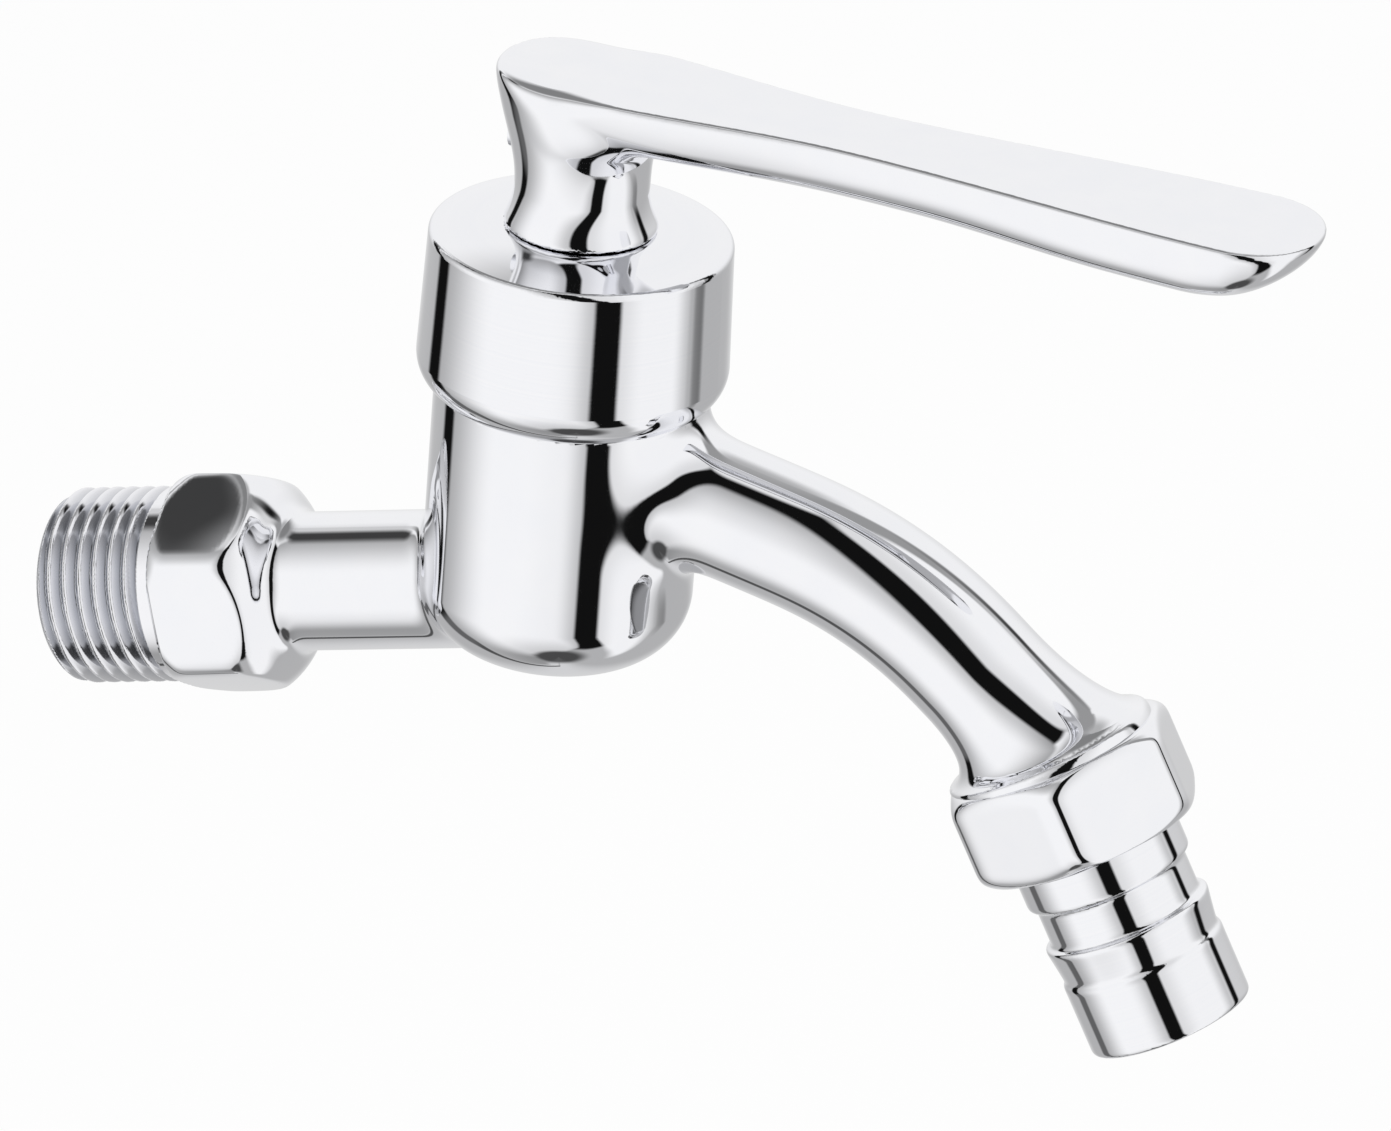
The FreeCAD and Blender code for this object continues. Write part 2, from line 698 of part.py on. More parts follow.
def spindle():
    """The spindle: driver, foot, two ring grooves, clip groove and splined top."""
    wall = "spindle_radius"
    groove = "spindle_radius - ring_groove_depth"
    corners = [("0", SPINDLE_FOOT), ("foot_radius", SPINDLE_FOOT), ("foot_radius", SPINDLE_SHOULDER),
               (wall, SPINDLE_SHOULDER)]
    for height in ("lower_ring_height", "upper_ring_height"):
        foot = f"{height} - ring_groove_width / 2"
        top = f"{height} + ring_groove_width / 2"
        corners += [(wall, foot), (groove, foot), (groove, top), (wall, top)]
    clip = "spindle_radius - clip_groove_depth"
    corners += [(wall, CLIP_FOOT), (clip, CLIP_FOOT), (clip, CLIP_TOP), (wall, CLIP_TOP),
                (wall, f"{CLIP_TOP} + clip_width"), ("spline_radius", f"{CLIP_TOP} + clip_width"),
                ("spline_radius", "spline_top"), ("0", "spline_top")]
    body = turned("spindle", corners, TOWER)
    driver = sketch_on(body, "driver_section", "XY_Plane", ("0", "0", f"{SPINDLE_FOOT} - driver_depth"))
    outline(driver, [
        ("-driver_length / 2", "-driver_width / 2"), ("driver_length / 2", "-driver_width / 2"),
        ("driver_length / 2", "driver_width / 2"), ("-driver_length / 2", "driver_width / 2"),
    ])
    pad(body, "driver", driver, "driver_depth")
    notch = sketch_on(body, "spline_notch", "XY_Plane", ("0", "0", "spline_top"))
    half = "spline_depth"
    outline(notch, [
        ("spline_radius - spline_depth", "0"), ("spline_radius + spline_depth", f"-2 * {half}"),
        ("spline_radius + spline_depth", f"2 * {half}"),
    ])
    cut = pocket(body, "spline_cut", notch, f"spline_top - ({CLIP_TOP}) - clip_width")
    splines = body.newObject("PartDesign::PolarPattern", "splines")
    splines.Originals = [cut]
    splines.Axis = (notch, ["N_Axis"])
    splines.Angle = 360
    drive(splines, "Occurrences", "spline_count")
    body.Tip = splines
    return body


def spindle_ring(name, height):
    """A rubber ring in a groove of the spindle."""
    torus = doc.addObject("Part::Torus", name)
    torus.Label = name
    drive(torus, "Radius1", "spindle_radius - ring_groove_depth / 2 + turning_play / 2")
    drive(torus, "Radius2", "ring_wire")
    start, turn = TOWER
    lifted = (f"{start[0]} + {height} * sin(tower_lean)", "0", f"{height} * cos(tower_lean)")
    place(torus, (lifted, turn))
    return torus


def spindle_clip():
    """The open spring clip that keeps the spindle down in the shell."""
    body = ring("spindle_clip", "spindle_radius - clip_groove_depth + face_play",
                "stem_radius - clip_thickness",
                f"{CLIP_FOOT} + face_play", f"{CLIP_FOOT} + clip_thickness", TOWER)
    gap = sketch_on(body, "clip_gap_section", "XY_Plane", ("0", "0", f"{CLIP_FOOT} + clip_thickness"))
    outline(gap, [
        ("0", "-clip_gap / 2"), ("stem_radius", "-clip_gap / 2"), ("stem_radius", "clip_gap / 2"),
        ("0", "clip_gap / 2"),
    ])
    pocket(body, "clip_gap_cut", gap, "clip_thickness")
    return body


def crown_height(radius):
    """The height of the cap's domed top at a radius, as an expression."""
    curve = "((cap_top_radius ^ 2 + cap_crown ^ 2) / (2 * cap_crown))"
    return f"cap_top + cap_crown - {curve} + sqrt({curve} ^ 2 - ({radius}) ^ 2)"


def cap():
    """The bell over the headwork. Its hub screws onto the shell's stem."""
    curve = "(cap_top_radius ^ 2 + cap_crown ^ 2) / (2 * cap_crown)"
    ceiling = "cap_top - cap_wall"
    body = turned("cap", [
        ("cap_foot_bore", "tower_top"), ("cap_foot_radius", "tower_top", "cap_foot_round", "left"),
        ("cap_radius", "tower_top + cap_foot_rise"), ("cap_top_radius", "cap_top", curve, "left"),
        ("cap_hole", crown_height("cap_hole")), ("cap_hole", "stem_top + clip_width + 2 * face_play"),
        ("stem_radius + thread_play", "stem_top + clip_width + 2 * face_play"),
        ("stem_radius + thread_play", f"{ceiling} - cap_hub_depth"),
        ("cap_hub_radius", f"{ceiling} - cap_hub_depth"),
        ("cap_hub_radius", ceiling), ("cap_top_radius - cap_wall", ceiling),
        ("cap_radius - cap_wall", "tower_top + cap_ledge"), ("cap_foot_bore", "tower_top + cap_ledge"),
    ], TOWER)
    round_edges(body, "cap_edge_rounding", rings(("cap_top_radius", "cap_top")), "cap_edge_round")
    return body


def cap_seal():
    """The rubber ring that steadies the cap's foot on the shell's flange."""
    torus = doc.addObject("Part::Torus", "cap_seal")
    torus.Label = "cap_seal"
    drive(torus, "Radius1", "cap_foot_bore - cap_seal_wire - face_play")
    drive(torus, "Radius2", "cap_seal_wire")
    height = f"({FLANGE_TOP} + cap_seal_wire + face_play)"
    start, turn = TOWER
    place(torus, ((f"{start[0]} + {height} * sin(tower_lean)", "0", f"{height} * cos(tower_lean)"), turn))
    return torus


def arm_outline(sketch):
    """Draws the arm from above: round head, drawn-in middle and round tip, each side two S curves."""
    head_x, head_y = "-head_back", "head_radius"
    waist_x, waist_y = "arm_waist_place", "arm_waist"
    tip_x, tip_y = "tip_place", "tip_radius"

    def bow(span, rise):
        """The radius of an arc that leaves level and ends this far along and across."""
        return f"(({span}) ^ 2 + ({rise}) ^ 2) / (2 * ({rise}))"

    first = bow(f"({waist_x} - ({head_x})) / 2", f"({head_y} - {waist_y}) / 2")
    second = bow(f"({tip_x} - {waist_x}) / 2", f"({tip_y} - {waist_y}) / 2")
    near = [(f"({head_x} + {waist_x}) / 2", f"({head_y} + {waist_y}) / 2"),
            (f"({tip_x} + {waist_x}) / 2", f"({tip_y} + {waist_y}) / 2")]
    outline(sketch, [
        (head_x, f"-{head_y}", first, "left"), (near[0][0], f"-({near[0][1]})", first, "right"),
        (waist_x, f"-{waist_y}", second, "right"), (near[1][0], f"-({near[1][1]})", second, "left"),
        (tip_x, f"-{tip_y}", tip_y, "left"), (f"{tip_x} + {tip_y}", "0", tip_y, "left"),
        (tip_x, tip_y, second, "left"), (near[1][0], near[1][1], second, "right"),
        (waist_x, waist_y, first, "right"), (near[0][0], near[0][1], first, "left"),
        (head_x, head_y, head_y, "left"), (f"{head_x} - {head_y}", "0", head_y, "left"),
    ])


def lever_handle():
    """The cast lever: arm, head and waisted neck, bored for its bush and its screw."""
    body = new_body("lever_handle", TOWER)
    arm = sketch_on(body, "arm_section", "XY_Plane", ("0", "0", "lever_top - arm_depth"))
    arm_outline(arm)
    pad(body, "arm", arm, "arm_depth")
    floor = number("lever_top - arm_depth")
    top = number("lever_top")
    round_edges(body, "arm_edge_rounding", lambda edge: at_height(edge, top), "arm_edge_round")
    round_edges(body, "arm_under_rounding", lambda edge: at_height(edge, floor), "arm_under_round")
    sweep_tip(body)
    neck_solid(body)
    round_edges(body, "arm_neck_rounding", where_neck_meets_arm, "arm_neck_round")
    bore_lever(body)
    return body


def sweep_tip(body):
    """Sweeps the arm's underside up to a thin edge at the tip."""
    side = sketch_on(body, "tip_sweep_section", "XZ_Plane", ("0", "0", "2 * tip_radius"))
    floor = "lever_top - arm_depth"
    end = "tip_place + tip_radius"
    rise = "(arm_depth - tip_edge)"
    outline(side, [
        (f"{end} - tip_sweep", floor, f"(tip_sweep ^ 2 + {rise} ^ 2) / (2 * {rise})", "left"),
        (end, "lever_top - tip_edge"), (f"{end} + tip_edge", "lever_top - tip_edge"),
        (f"{end} + tip_edge", f"{floor} - tip_edge"), (f"{end} - tip_sweep", f"{floor} - tip_edge"),
    ])
    pocket(body, "tip_sweep_cut", side, "4 * tip_radius")


def at_height(edge, height):
    """True for an edge that lies flat at this height of the body's own axis."""
    return all(abs(spot.z - height) < TINY for spot in edge.discretize(5))


def where_neck_meets_arm(edge):
    """True for the curves along which the slanting neck runs into the arm."""
    box = edge.BoundBox
    near_head = box.XMax < number("arm_waist_place")
    above_waist = box.ZMin > number(WAIST) + TINY
    return near_head and above_waist and isinstance(edge.Curve, Part.BSplineCurve)


def neck_solid(body):
    """The neck: a slanting cone from the head down to the waist, and the bell of the foot below."""
    shoulder = "lever_top - arm_depth + arm_under_round"
    head = sketch_on(body, "head_circle", "XY_Plane", ("0", "0", shoulder))
    circle_in(head, "head_radius - turning_play / 5", ("-head_back", "0"))
    waist = sketch_on(body, "waist_circle", "XY_Plane", ("0", "0", WAIST))
    circle_in(waist, "lever_waist")
    neck = body.newObject("PartDesign::AdditiveLoft", "neck")
    neck.Profile = waist
    neck.Sections = [head]
    bell = sketch_on(body, "bell_section", "XZ_Plane")
    rise = "lever_waist_rise"
    spread = "(lever_foot_radius - lever_waist)"
    outline(bell, [
        ("0", "lever_foot"),
        ("lever_foot_radius", "lever_foot", f"({rise} ^ 2 + {spread} ^ 2) / (2 * {spread})", "right"),
        ("lever_waist", WAIST), ("0", WAIST),
    ])
    spin(body, "bell", bell)


def bore_lever(body):
    """The blind bore for the bush and the cross hole for the screw and its plug."""
    bore = sketch_on(body, "lever_bore_section", "XZ_Plane")
    counter = "bush_foot + bush_flange + face_play"
    outline(bore, [
        ("0", "lever_foot"), ("bush_flange_radius + face_play", "lever_foot"),
        ("bush_flange_radius + face_play", counter), ("bush_radius + face_play", counter),
        ("bush_radius + face_play", "bush_top + face_play"), ("0", "bush_top + face_play"),
    ])
    spin(body, "lever_bore", bore, cut=True)
    cross = sketch_on(body, "screw_hole_section", "YZ_Plane")
    circle_in(cross, "screw_radius + face_play", ("0", "screw_height"))
    pocket(body, "screw_hole", cross, "2 * head_radius")


def handle_bush():
    """The plastic bush that grips the splines inside the lever."""
    body = turned("handle_bush", [
        ("spline_radius + turning_play", "bush_foot"), ("bush_flange_radius", "bush_foot"),
        ("bush_flange_radius", "bush_foot + bush_flange"), ("bush_radius", "bush_foot + bush_flange"),
        ("bush_radius", "bush_top"), ("spline_radius + turning_play", "bush_top"),
    ], TOWER)
    cross = sketch_on(body, "bush_hole_section", "YZ_Plane")
    circle_in(cross, "screw_radius + face_play", ("0", "screw_height"))
    pocket(body, "bush_hole", cross, "2 * head_radius")
    return body


def handle_screw():
    """The headless screw that locks the lever on the spindle, with its hexagon socket."""
    body = new_body("handle_screw", TOWER)
    start = "-spline_radius - turning_play - screw_length"
    section = sketch_on(body, "screw_section", "YZ_Plane", ("0", "0", start))
    circle_in(section, "screw_radius", ("0", "screw_height"))
    pad(body, "screw_shank", section, "screw_length")
    socket = sketch_on(body, "socket_section", "YZ_Plane", ("0", "screw_height", start))
    hexagon(socket, "screw_socket", "90")
    pocket(body, "screw_socket_cut", socket, "screw_socket_depth", back=True)
    return body


def screw_plug():
    """The small plug that closes the screw's hole at the back of the lever."""
    body = new_body("screw_plug", TOWER)
    start = "-spline_radius - turning_play - screw_length - plug_thickness - face_play"
    section = sketch_on(body, "plug_section", "YZ_Plane", ("0", "0", start))
    circle_in(section, "screw_radius", ("0", "screw_height"))
    pad(body, "plug", section, "plug_thickness")
    return body


def union_nut():
    """The loose nut that draws the nozzle onto the outlet."""
    body = new_body("union_nut", OUTLET)
    flats = sketch_on(body, "nut_section", "XY_Plane", ("0", "0", "nut_gap"))
    hexagon(flats, "nut_flats", "nut_turn")
    pad(body, "nut_blank", flats, "nut_height")
    height = number("nut_height")
    round_edges(body, "nut_corner_rounding", lambda edge: edge.Length > height - TINY and is_upright(edge),
                "nut_corner_round")
    chamfer_nut(body)
    bore = sketch_on(body, "nut_bore_section", "XZ_Plane")
    outline(bore, [
        ("0", "nut_gap"), ("thread_radius", "nut_gap"), ("thread_radius", LIP_START),
        ("collar_radius + nut_lip_play", LIP_START), ("collar_radius + nut_lip_play", NUT_FOOT),
        ("0", NUT_FOOT),
    ])
    spin(body, "nut_bore", bore, cut=True)
    return body


def is_upright(edge):
    """True for a straight edge along the body's own axis."""
    return isinstance(edge.Curve, Part.Line) and abs(edge.Curve.Direction.z) > 1 - TINY


def chamfer_nut(body):
    """Turns the corners of both end faces down at thirty degrees."""
    inner = "nut_flats / 2"
    outer = "nut_flats"
    drop = f"({outer} - {inner}) * nut_chamfer / (nut_flats / sqrt(3) - {inner})"
    for name, face, sign in (("near", "nut_gap", "+"), ("far", NUT_FOOT, "-")):
        section = sketch_on(body, f"nut_chamfer_{name}_section", "XZ_Plane")
        outline(section, [(inner, face), (outer, face), (outer, f"{face} {sign} {drop}")])
        spin(body, f"nut_chamfer_{name}", section, cut=True)


def hose_nozzle():
    """The nozzle: flange held by the nut, collar, waist, one ridge and a long tail."""
    body = turned("hose_nozzle", [
        ("nozzle_bore", GASKET_END), ("washer_radius", GASKET_END), ("washer_radius", FLANGE_END),
        ("collar_radius", FLANGE_END), ("collar_radius", "collar_end"), ("waist_radius", "waist_start"),
        ("waist_radius", "waist_end"), ("collar_radius", "ridge_start"), ("ridge_foot_radius", "ridge_end"),
        ("tail_radius", "tail_start"), ("tail_radius", "nozzle_end"), ("nozzle_bore", "nozzle_end"),
    ], OUTLET)
    round_edges(body, "nozzle_land_rounding", rings(
        ("collar_radius", "collar_end"), ("collar_radius", "ridge_start"), ("tail_radius", "tail_start")),
        "land_round")
    round_edges(body, "nozzle_end_rounding", rings(("tail_radius", "nozzle_end")), "nozzle_edge_round")
    return body


def build():
    """Makes every piece of the tap."""
    fill_sheet()
    return [
        valve_body(),
        ring("seat_seal", "seal_bore", "disc_radius", "seat_height", SEAL_TOP, TOWER),
        ported_disc("fixed_disc", SEAL_TOP, FIXED_TOP, "0", "0"),
        rotating_disc(),
        headwork_shell(),
        ring("headwork_gasket", "thread_radius", "gasket_radius", "tower_top", FLANGE_FOOT, TOWER),
        spindle(),
        ring("thrust_washer", "spindle_radius + turning_play", "foot_radius", WASHER_FOOT, WASHER_TOP,
             TOWER),
        spindle_ring("spindle_ring_lower", "lower_ring_height"),
        spindle_ring("spindle_ring_upper", "upper_ring_height"),
        spindle_clip(),
        cap(),
        cap_seal(),
        lever_handle(),
        handle_bush(),
        handle_screw(),
        screw_plug(),
        union_nut(),
        ring("nozzle_gasket", "washer_bore", "washer_radius", "outlet_length", GASKET_END, OUTLET),
        hose_nozzle(),
    ]


def check(pieces):
    """Stops if any object failed or any piece has no sound solid."""
    for item in doc.Objects:
        if "Invalid" in item.State or "Error" in item.State:
            raise RuntimeError(f"{item.Name} failed: {item.State}")
    for piece in pieces:
        if piece.Shape.isNull() or not piece.Shape.isValid() or len(piece.Shape.Solids) != 1:
            raise RuntimeError(f"{piece.Label} has no sound solid")


def export(pieces):
    """Writes one file for each piece, named after its label."""
    os.makedirs("parts", exist_ok=True)
    for piece in pieces:
        piece.Shape.exportStep(f"parts/{piece.Label}.step")


pieces = build()
doc.recompute()
check(pieces)
export(pieces)
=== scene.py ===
"""Lever garden tap: smooth skins, finishes, studio and camera.

Polished chrome shows every kink, so the casting, the lever, the nut and the
nozzle are remade as smooth skins in their nodes' places.  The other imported
nodes keep their shapes and get their finishes here.  Blender's unit is the
metre, while the skins' sizes and every name that ends in _mm are in
millimetres.  The row frame has its origin at the inlet's open end, +X towards
the spout and +Z up.
"""

import json
import math

import bpy
import numpy as np
import openvdb
from mathutils import Matrix, Vector


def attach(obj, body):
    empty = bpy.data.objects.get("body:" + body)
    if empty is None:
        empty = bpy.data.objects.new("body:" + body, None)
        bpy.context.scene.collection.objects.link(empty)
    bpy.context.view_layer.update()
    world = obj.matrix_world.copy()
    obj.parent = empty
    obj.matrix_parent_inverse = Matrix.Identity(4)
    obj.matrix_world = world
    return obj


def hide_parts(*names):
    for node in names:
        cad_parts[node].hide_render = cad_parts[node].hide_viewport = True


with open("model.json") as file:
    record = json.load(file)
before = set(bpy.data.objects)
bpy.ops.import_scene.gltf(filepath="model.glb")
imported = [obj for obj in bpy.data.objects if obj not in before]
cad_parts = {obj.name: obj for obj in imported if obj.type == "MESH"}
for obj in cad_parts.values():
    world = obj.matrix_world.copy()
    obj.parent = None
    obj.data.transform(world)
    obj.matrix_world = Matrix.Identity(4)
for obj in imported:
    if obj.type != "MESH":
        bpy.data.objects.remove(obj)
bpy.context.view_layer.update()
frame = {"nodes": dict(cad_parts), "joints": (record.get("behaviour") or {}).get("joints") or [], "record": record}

MM = 0.001

# Where the parts' own axes run, as the record gives them.
lever_joint = next(j for j in frame["joints"] if j["name"] == "lever_turn")
tower_axis = Vector(lever_joint["axis"])
tower_foot = Vector(lever_joint["pos_m"])


# ---------------------------------------------------------------- small tools

def linear(hex_colour):
    """Linear red, green, blue and alpha of an sRGB colour such as '#C9A45C'."""
    digits = hex_colour.lstrip("#")
    parts = [int(digits[i:i + 2], 16) / 255 for i in (0, 2, 4)]
    return [p / 12.92 if p <= 0.04045 else ((p + 0.055) / 1.055) ** 2.4
            for p in parts] + [1.0]


def add(tree, kind, inputs=(), give=None, **settings):
    """Adds one node and returns its output called give, or else its first one.

    Inputs come by name, or in the order of the node's own sockets.  An input
    that is a socket is linked, and any other is set as it is.
    """
    node = tree.nodes.new("ShaderNode" + kind)
    for name, value in settings.items():
        setattr(node, name, value)
    taken = {s.name: s for s in reversed(node.inputs) if s.enabled}
    named = inputs if isinstance(inputs, dict) else dict(enumerate(inputs))
    for name, value in named.items():
        socket = taken[name] if isinstance(name, str) else node.inputs[name]
        if isinstance(value, bpy.types.NodeSocket):
            tree.links.new(value, socket)
        else:
            socket.default_value = value
    given = {s.name: s for s in reversed(node.outputs) if s.enabled}
    return given[give] if give else next(reversed(given.values()), None)


def per_mm(width_mm):
    """Texture scale at which a pattern repeats about every width_mm."""
    return 1 / (width_mm * MM)


def new_finish(name):
    """An empty material, its node tree, and the place on the part in metres."""
    finish = bpy.data.materials.new(name)
    finish.use_nodes = True
    tree = finish.node_tree
    tree.nodes.clear()
    place = add(tree, "TexCoord", give="Object")
    return finish, tree, place


def wear(finish, *nodes):
    """Puts a finish on every material slot of some CAD nodes."""
    for name in nodes:
        node = frame["nodes"][name]
        for slot in node.material_slots:
            slot.link = "OBJECT"
            slot.material = finish


# ------------------------------------------------------ skins from distances
#
# These pieces are too softly rounded for a mesh drawn by hand.  Each is
# described by a shape: a function of x, y and z in millimetres which gives
# about how far a place lies outside it, and less than nothing inside.  The
# skin is laid where that distance is nought.

def join(first, second, fillet):
    """Two shapes run together through a soft fillet."""
    near = np.maximum(fillet - np.abs(first - second), 0) / fillet
    return np.minimum(first, second) - near ** 3 * fillet / 6


def cut(first, second, rounding):
    """The first shape within the second, with a softly rounded edge."""
    return -join(-first, -second, rounding)


def slopes(shape, spots):
    """How each place's distance changes along x, y and z."""
    reach = 0.01
    columns = []
    for step in np.eye(3) * reach:
        ahead, behind = (spots + step).T, (spots - step).T
        columns.append((shape(*ahead) - shape(*behind)) / (2 * reach))
    return np.stack(columns, axis=1)


def skin(name, shape, low, high, step):
    """A smooth mesh object on the skin of a shape that fits in low to high."""
    low = np.array(low, float)
    axes = [np.arange(a, b + step, step) for a, b in zip(low, high)]
    distances = shape(*np.meshgrid(*axes, indexing="ij", sparse=True))
    grid = openvdb.FloatGrid()
    grid.copyFromArray(distances.astype(np.float32))
    spots, faces = grid.convertToQuads(isovalue=0.0)
    spots = spots.astype(float) * step + low
    # The grid's corners are pulled onto the shape itself in three goes.
    least_steepness = 0.05
    for _ in range(3):
        slope = slopes(shape, spots)
        steepness = np.maximum((slope ** 2).sum(axis=1), least_steepness)
        move = slope * (shape(*spots.T) / steepness)[:, None]
        spots -= np.clip(move, -step, step)
    normals = slopes(shape, spots)
    normals /= np.linalg.norm(normals, axis=1)[:, None]
    a, b, c, d = (spots[faces[:, corner]] for corner in range(4))
    facing = np.einsum("ij,ij->i", np.cross(c - a, d - b), normals[faces[:, 0]])
    if facing.sum() < 0:
        faces = faces[:, ::-1]
    mesh = bpy.data.meshes.new(name)
    mesh.from_pydata(spots * MM, [], faces.tolist())
    mesh.polygons.foreach_set("use_smooth", [True] * len(mesh.polygons))
    mesh.normals_split_custom_set_from_vertices(normals)
    piece = bpy.data.objects.new(name, mesh)
    bpy.context.collection.objects.link(piece)
    return piece


# The axes that the pieces stand on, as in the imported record.
TOWER_FOOT = np.array([56.89, 0, 0])
TOWER_LEAN = math.radians(15.15)
RIM = np.array([110.02, 0, -20.03])
OUTLET_LEAN = math.radians(14.4)


def about_tower(x, y, z):
    """Height along the tower's axis, reach towards the outlet, and radius."""
    height = (x - TOWER_FOOT[0]) * math.sin(TOWER_LEAN) + z * math.cos(TOWER_LEAN)
    reach = (x - TOWER_FOOT[0]) * math.cos(TOWER_LEAN) - z * math.sin(TOWER_LEAN)
    return height, reach, np.hypot(reach, y)


def about_outlet(x, y, z):
    """Depth below the rim along the outlet's axis, and radius."""
    across, rise = x - RIM[0], z - RIM[2]
    depth = across * math.sin(OUTLET_LEAN) - rise * math.cos(OUTLET_LEAN)
    reach = across * math.cos(OUTLET_LEAN) + rise * math.sin(OUTLET_LEAN)
    return depth, np.hypot(reach, y)


def drum(radius, along, edge, start, end):
    """A round bar of the given radius between two places along its axis."""
    return np.maximum(radius - edge, np.maximum(start - along, along - end))


# ---- inlet: half-inch pipe thread, spanner hexagon and neck

THREAD_RADIUS = 10.4775
THREAD_PITCH = 1.814
THREAD_DEPTH = 1.16
GROOVE_WIDTH = 1.34
GROOVE_START = -THREAD_PITCH + GROOVE_WIDTH / 2
GROOVE_END = 12.3
THREAD_LENGTH = 14.1
THREAD_START_TURN = 0.25
ROOT_ROUND = 0.14
LEAD_CHAMFER = 1.0
THREAD_BOX = (-0.5, -11, -11), (14.6, 11, 11)
THREAD_STEP = 0.22
INLET_BORE = 7.0
NECK_BORE = 5.0
BORE_STEP = 22.26


def inlet_bore(x, radius):
    """The waterway's entry, which narrows into the neck."""
    entry = drum(radius, x, INLET_BORE, -1, BORE_STEP)
    funnel = np.maximum((radius - INLET_BORE + x - BORE_STEP) * math.sqrt(0.5),
                        BORE_STEP - 1 - x)
    funnel = np.maximum(funnel, x - BORE_STEP - 2)
    neck = drum(radius, x, NECK_BORE, 0, TOWER_FOOT[0])
    return np.minimum(neck, np.minimum(entry, funnel))


def thread_shape(x, y, z):
    """The threaded end: one helical V groove with softened crests and root."""
    radius = np.hypot(y, z)
    turn = np.arctan2(z, y) / (2 * math.pi) - THREAD_START_TURN
    from_groove = x - GROOVE_START - THREAD_PITCH * turn
    half_pitch = THREAD_PITCH / 2
    across = np.abs((from_groove + half_pitch) % THREAD_PITCH - half_pitch)
    steepness = THREAD_DEPTH / (GROOVE_WIDTH / 2)
    wall = (radius - THREAD_RADIUS + THREAD_DEPTH
            - (np.hypot(across, ROOT_ROUND) - ROOT_ROUND) * steepness)
    runout = np.maximum(x - GROOVE_END, 0) * 2
    groove = wall / math.hypot(1, steepness) - runout
    solid = cut(radius - THREAD_RADIUS, groove, rounding=0.35)
    lead = (radius - THREAD_RADIUS + LEAD_CHAMFER - x) * math.sqrt(0.5)
    solid = cut(solid, lead, rounding=0.2)
    solid = cut(solid, np.maximum(-x, x - THREAD_LENGTH), rounding=0.15)
    return cut(solid, -inlet_bore(x, radius), rounding=0.4)


HEX_HALF_FLATS = 11.05
HEX_CORNER_ROUND = 1.9
HEX_MIDDLE = 17.0
HEX_CROWN = 110.0
BEVEL_START = 11.5
BEVEL_SLOPE = math.radians(30)
SHOULDER_START = 19.6
SHOULDER_END = 27.0
SHOULDER_RADIUS = 12.7
SHOULDER_FLAT = 4.6
SHOULDER_SPAN = 6.2
NECK_RADIUS = 7.36


def hexagon_shape(x, y, z):
    """The spanner hexagon, bevelled at the thread and domed at the neck."""
    radius = np.hypot(y, z)
    sloping = 0.5 * np.abs(y) + math.sqrt(0.75) * np.abs(z)
    level = np.abs(math.sqrt(0.75) * np.abs(y) - 0.5 * np.abs(z))
    lengthways = (x - HEX_MIDDLE) ** 2
    side = HEX_HALF_FLATS - np.abs(y) - (z ** 2 + lengthways) / (2 * HEX_CROWN)
    slant = HEX_HALF_FLATS - sloping - (level ** 2 + lengthways) / (2 * HEX_CROWN)
    sides = -join(side, slant, HEX_CORNER_ROUND)
    bevel = (radius - BEVEL_START) * math.cos(BEVEL_SLOPE) \
        - (x - THREAD_LENGTH) * math.sin(BEVEL_SLOPE)
    along = np.maximum(x - SHOULDER_START, 0) / (SHOULDER_END - SHOULDER_START)
    down = np.maximum(radius - SHOULDER_FLAT, 0) / (SHOULDER_RADIUS - SHOULDER_FLAT)
    dome = (np.hypot(along, down) - 1) * SHOULDER_SPAN
    blank = cut(sides, bevel, rounding=0.8)
    blank = cut(blank, THREAD_LENGTH - x, rounding=0.3)
    return cut(blank, dome, rounding=0.5)


# ---- tower: leaning barrel on a domed foot

TOWER_RADIUS = 14.3
TOWER_TOP = 22.18
UNDER_CAP = 0.3
FOOT_HEIGHT = -0.3
FOOT_ROUND = 7.0
FOOT_TURN = math.radians(65.65)


def tower_shape(x, y, z):
    """The barrel, its foot's rounding, and the shallow dome that closes it."""
    height, _, radius = about_tower(x, y, z)
    inset = TOWER_RADIUS - FOOT_ROUND
    out, below = radius - inset, np.minimum(height - FOOT_HEIGHT, 0)
    foot = np.hypot(np.maximum(out, 0), below) - FOOT_ROUND
    dome_radius = FOOT_ROUND + inset / math.cos(FOOT_TURN)
    dome_height = FOOT_HEIGHT + inset * math.tan(FOOT_TURN)
    dome = np.hypot(radius, height - dome_height) - dome_radius
    under = -below > np.maximum(out, 1e-6) * math.tan(FOOT_TURN)
    wall = np.where(height > FOOT_HEIGHT, radius - TOWER_RADIUS, foot)
    return np.where(under, dome, wall)


# ---- spout: straight run, bend and flare, on one smoothed middle line

SPOUT_HEIGHT = 15.57
SPOUT_DROP = math.radians(25.07)
SPOUT_RADIUS = 7.15
SPOUT_BORE = 4.6
SPOUT_STRAIGHT = 27.0
BEND_RADIUS = 44.2
BEND_TURN = math.radians(31)
FLARE_LENGTH = 9.65
FLARE_SHIFT = 4.35
FLARE_SETTLE = 0.9
FLARE_RADIUS = 11.6
LIP_RADIUS = 11.35
LIP_HEIGHT = 0.5
RIM_SEATED = 0.9
TRUMPET_FULLNESS = 2.2
LINE_STEP = 0.05
LINE_SOFTENING = 2.4


def soften(values):
    """Runs the line's stretches together without a step, as buffing does."""
    spread = 4 * LINE_SOFTENING
    offsets = np.arange(-spread, spread + LINE_STEP, LINE_STEP)
    weights = np.exp(-0.5 * (offsets / LINE_SOFTENING) ** 2)
    weights /= weights.sum()
    padded = np.pad(values, len(weights) // 2, mode="reflect", reflect_type="odd")
    return np.convolve(padded, weights, mode="valid")[:len(values)]


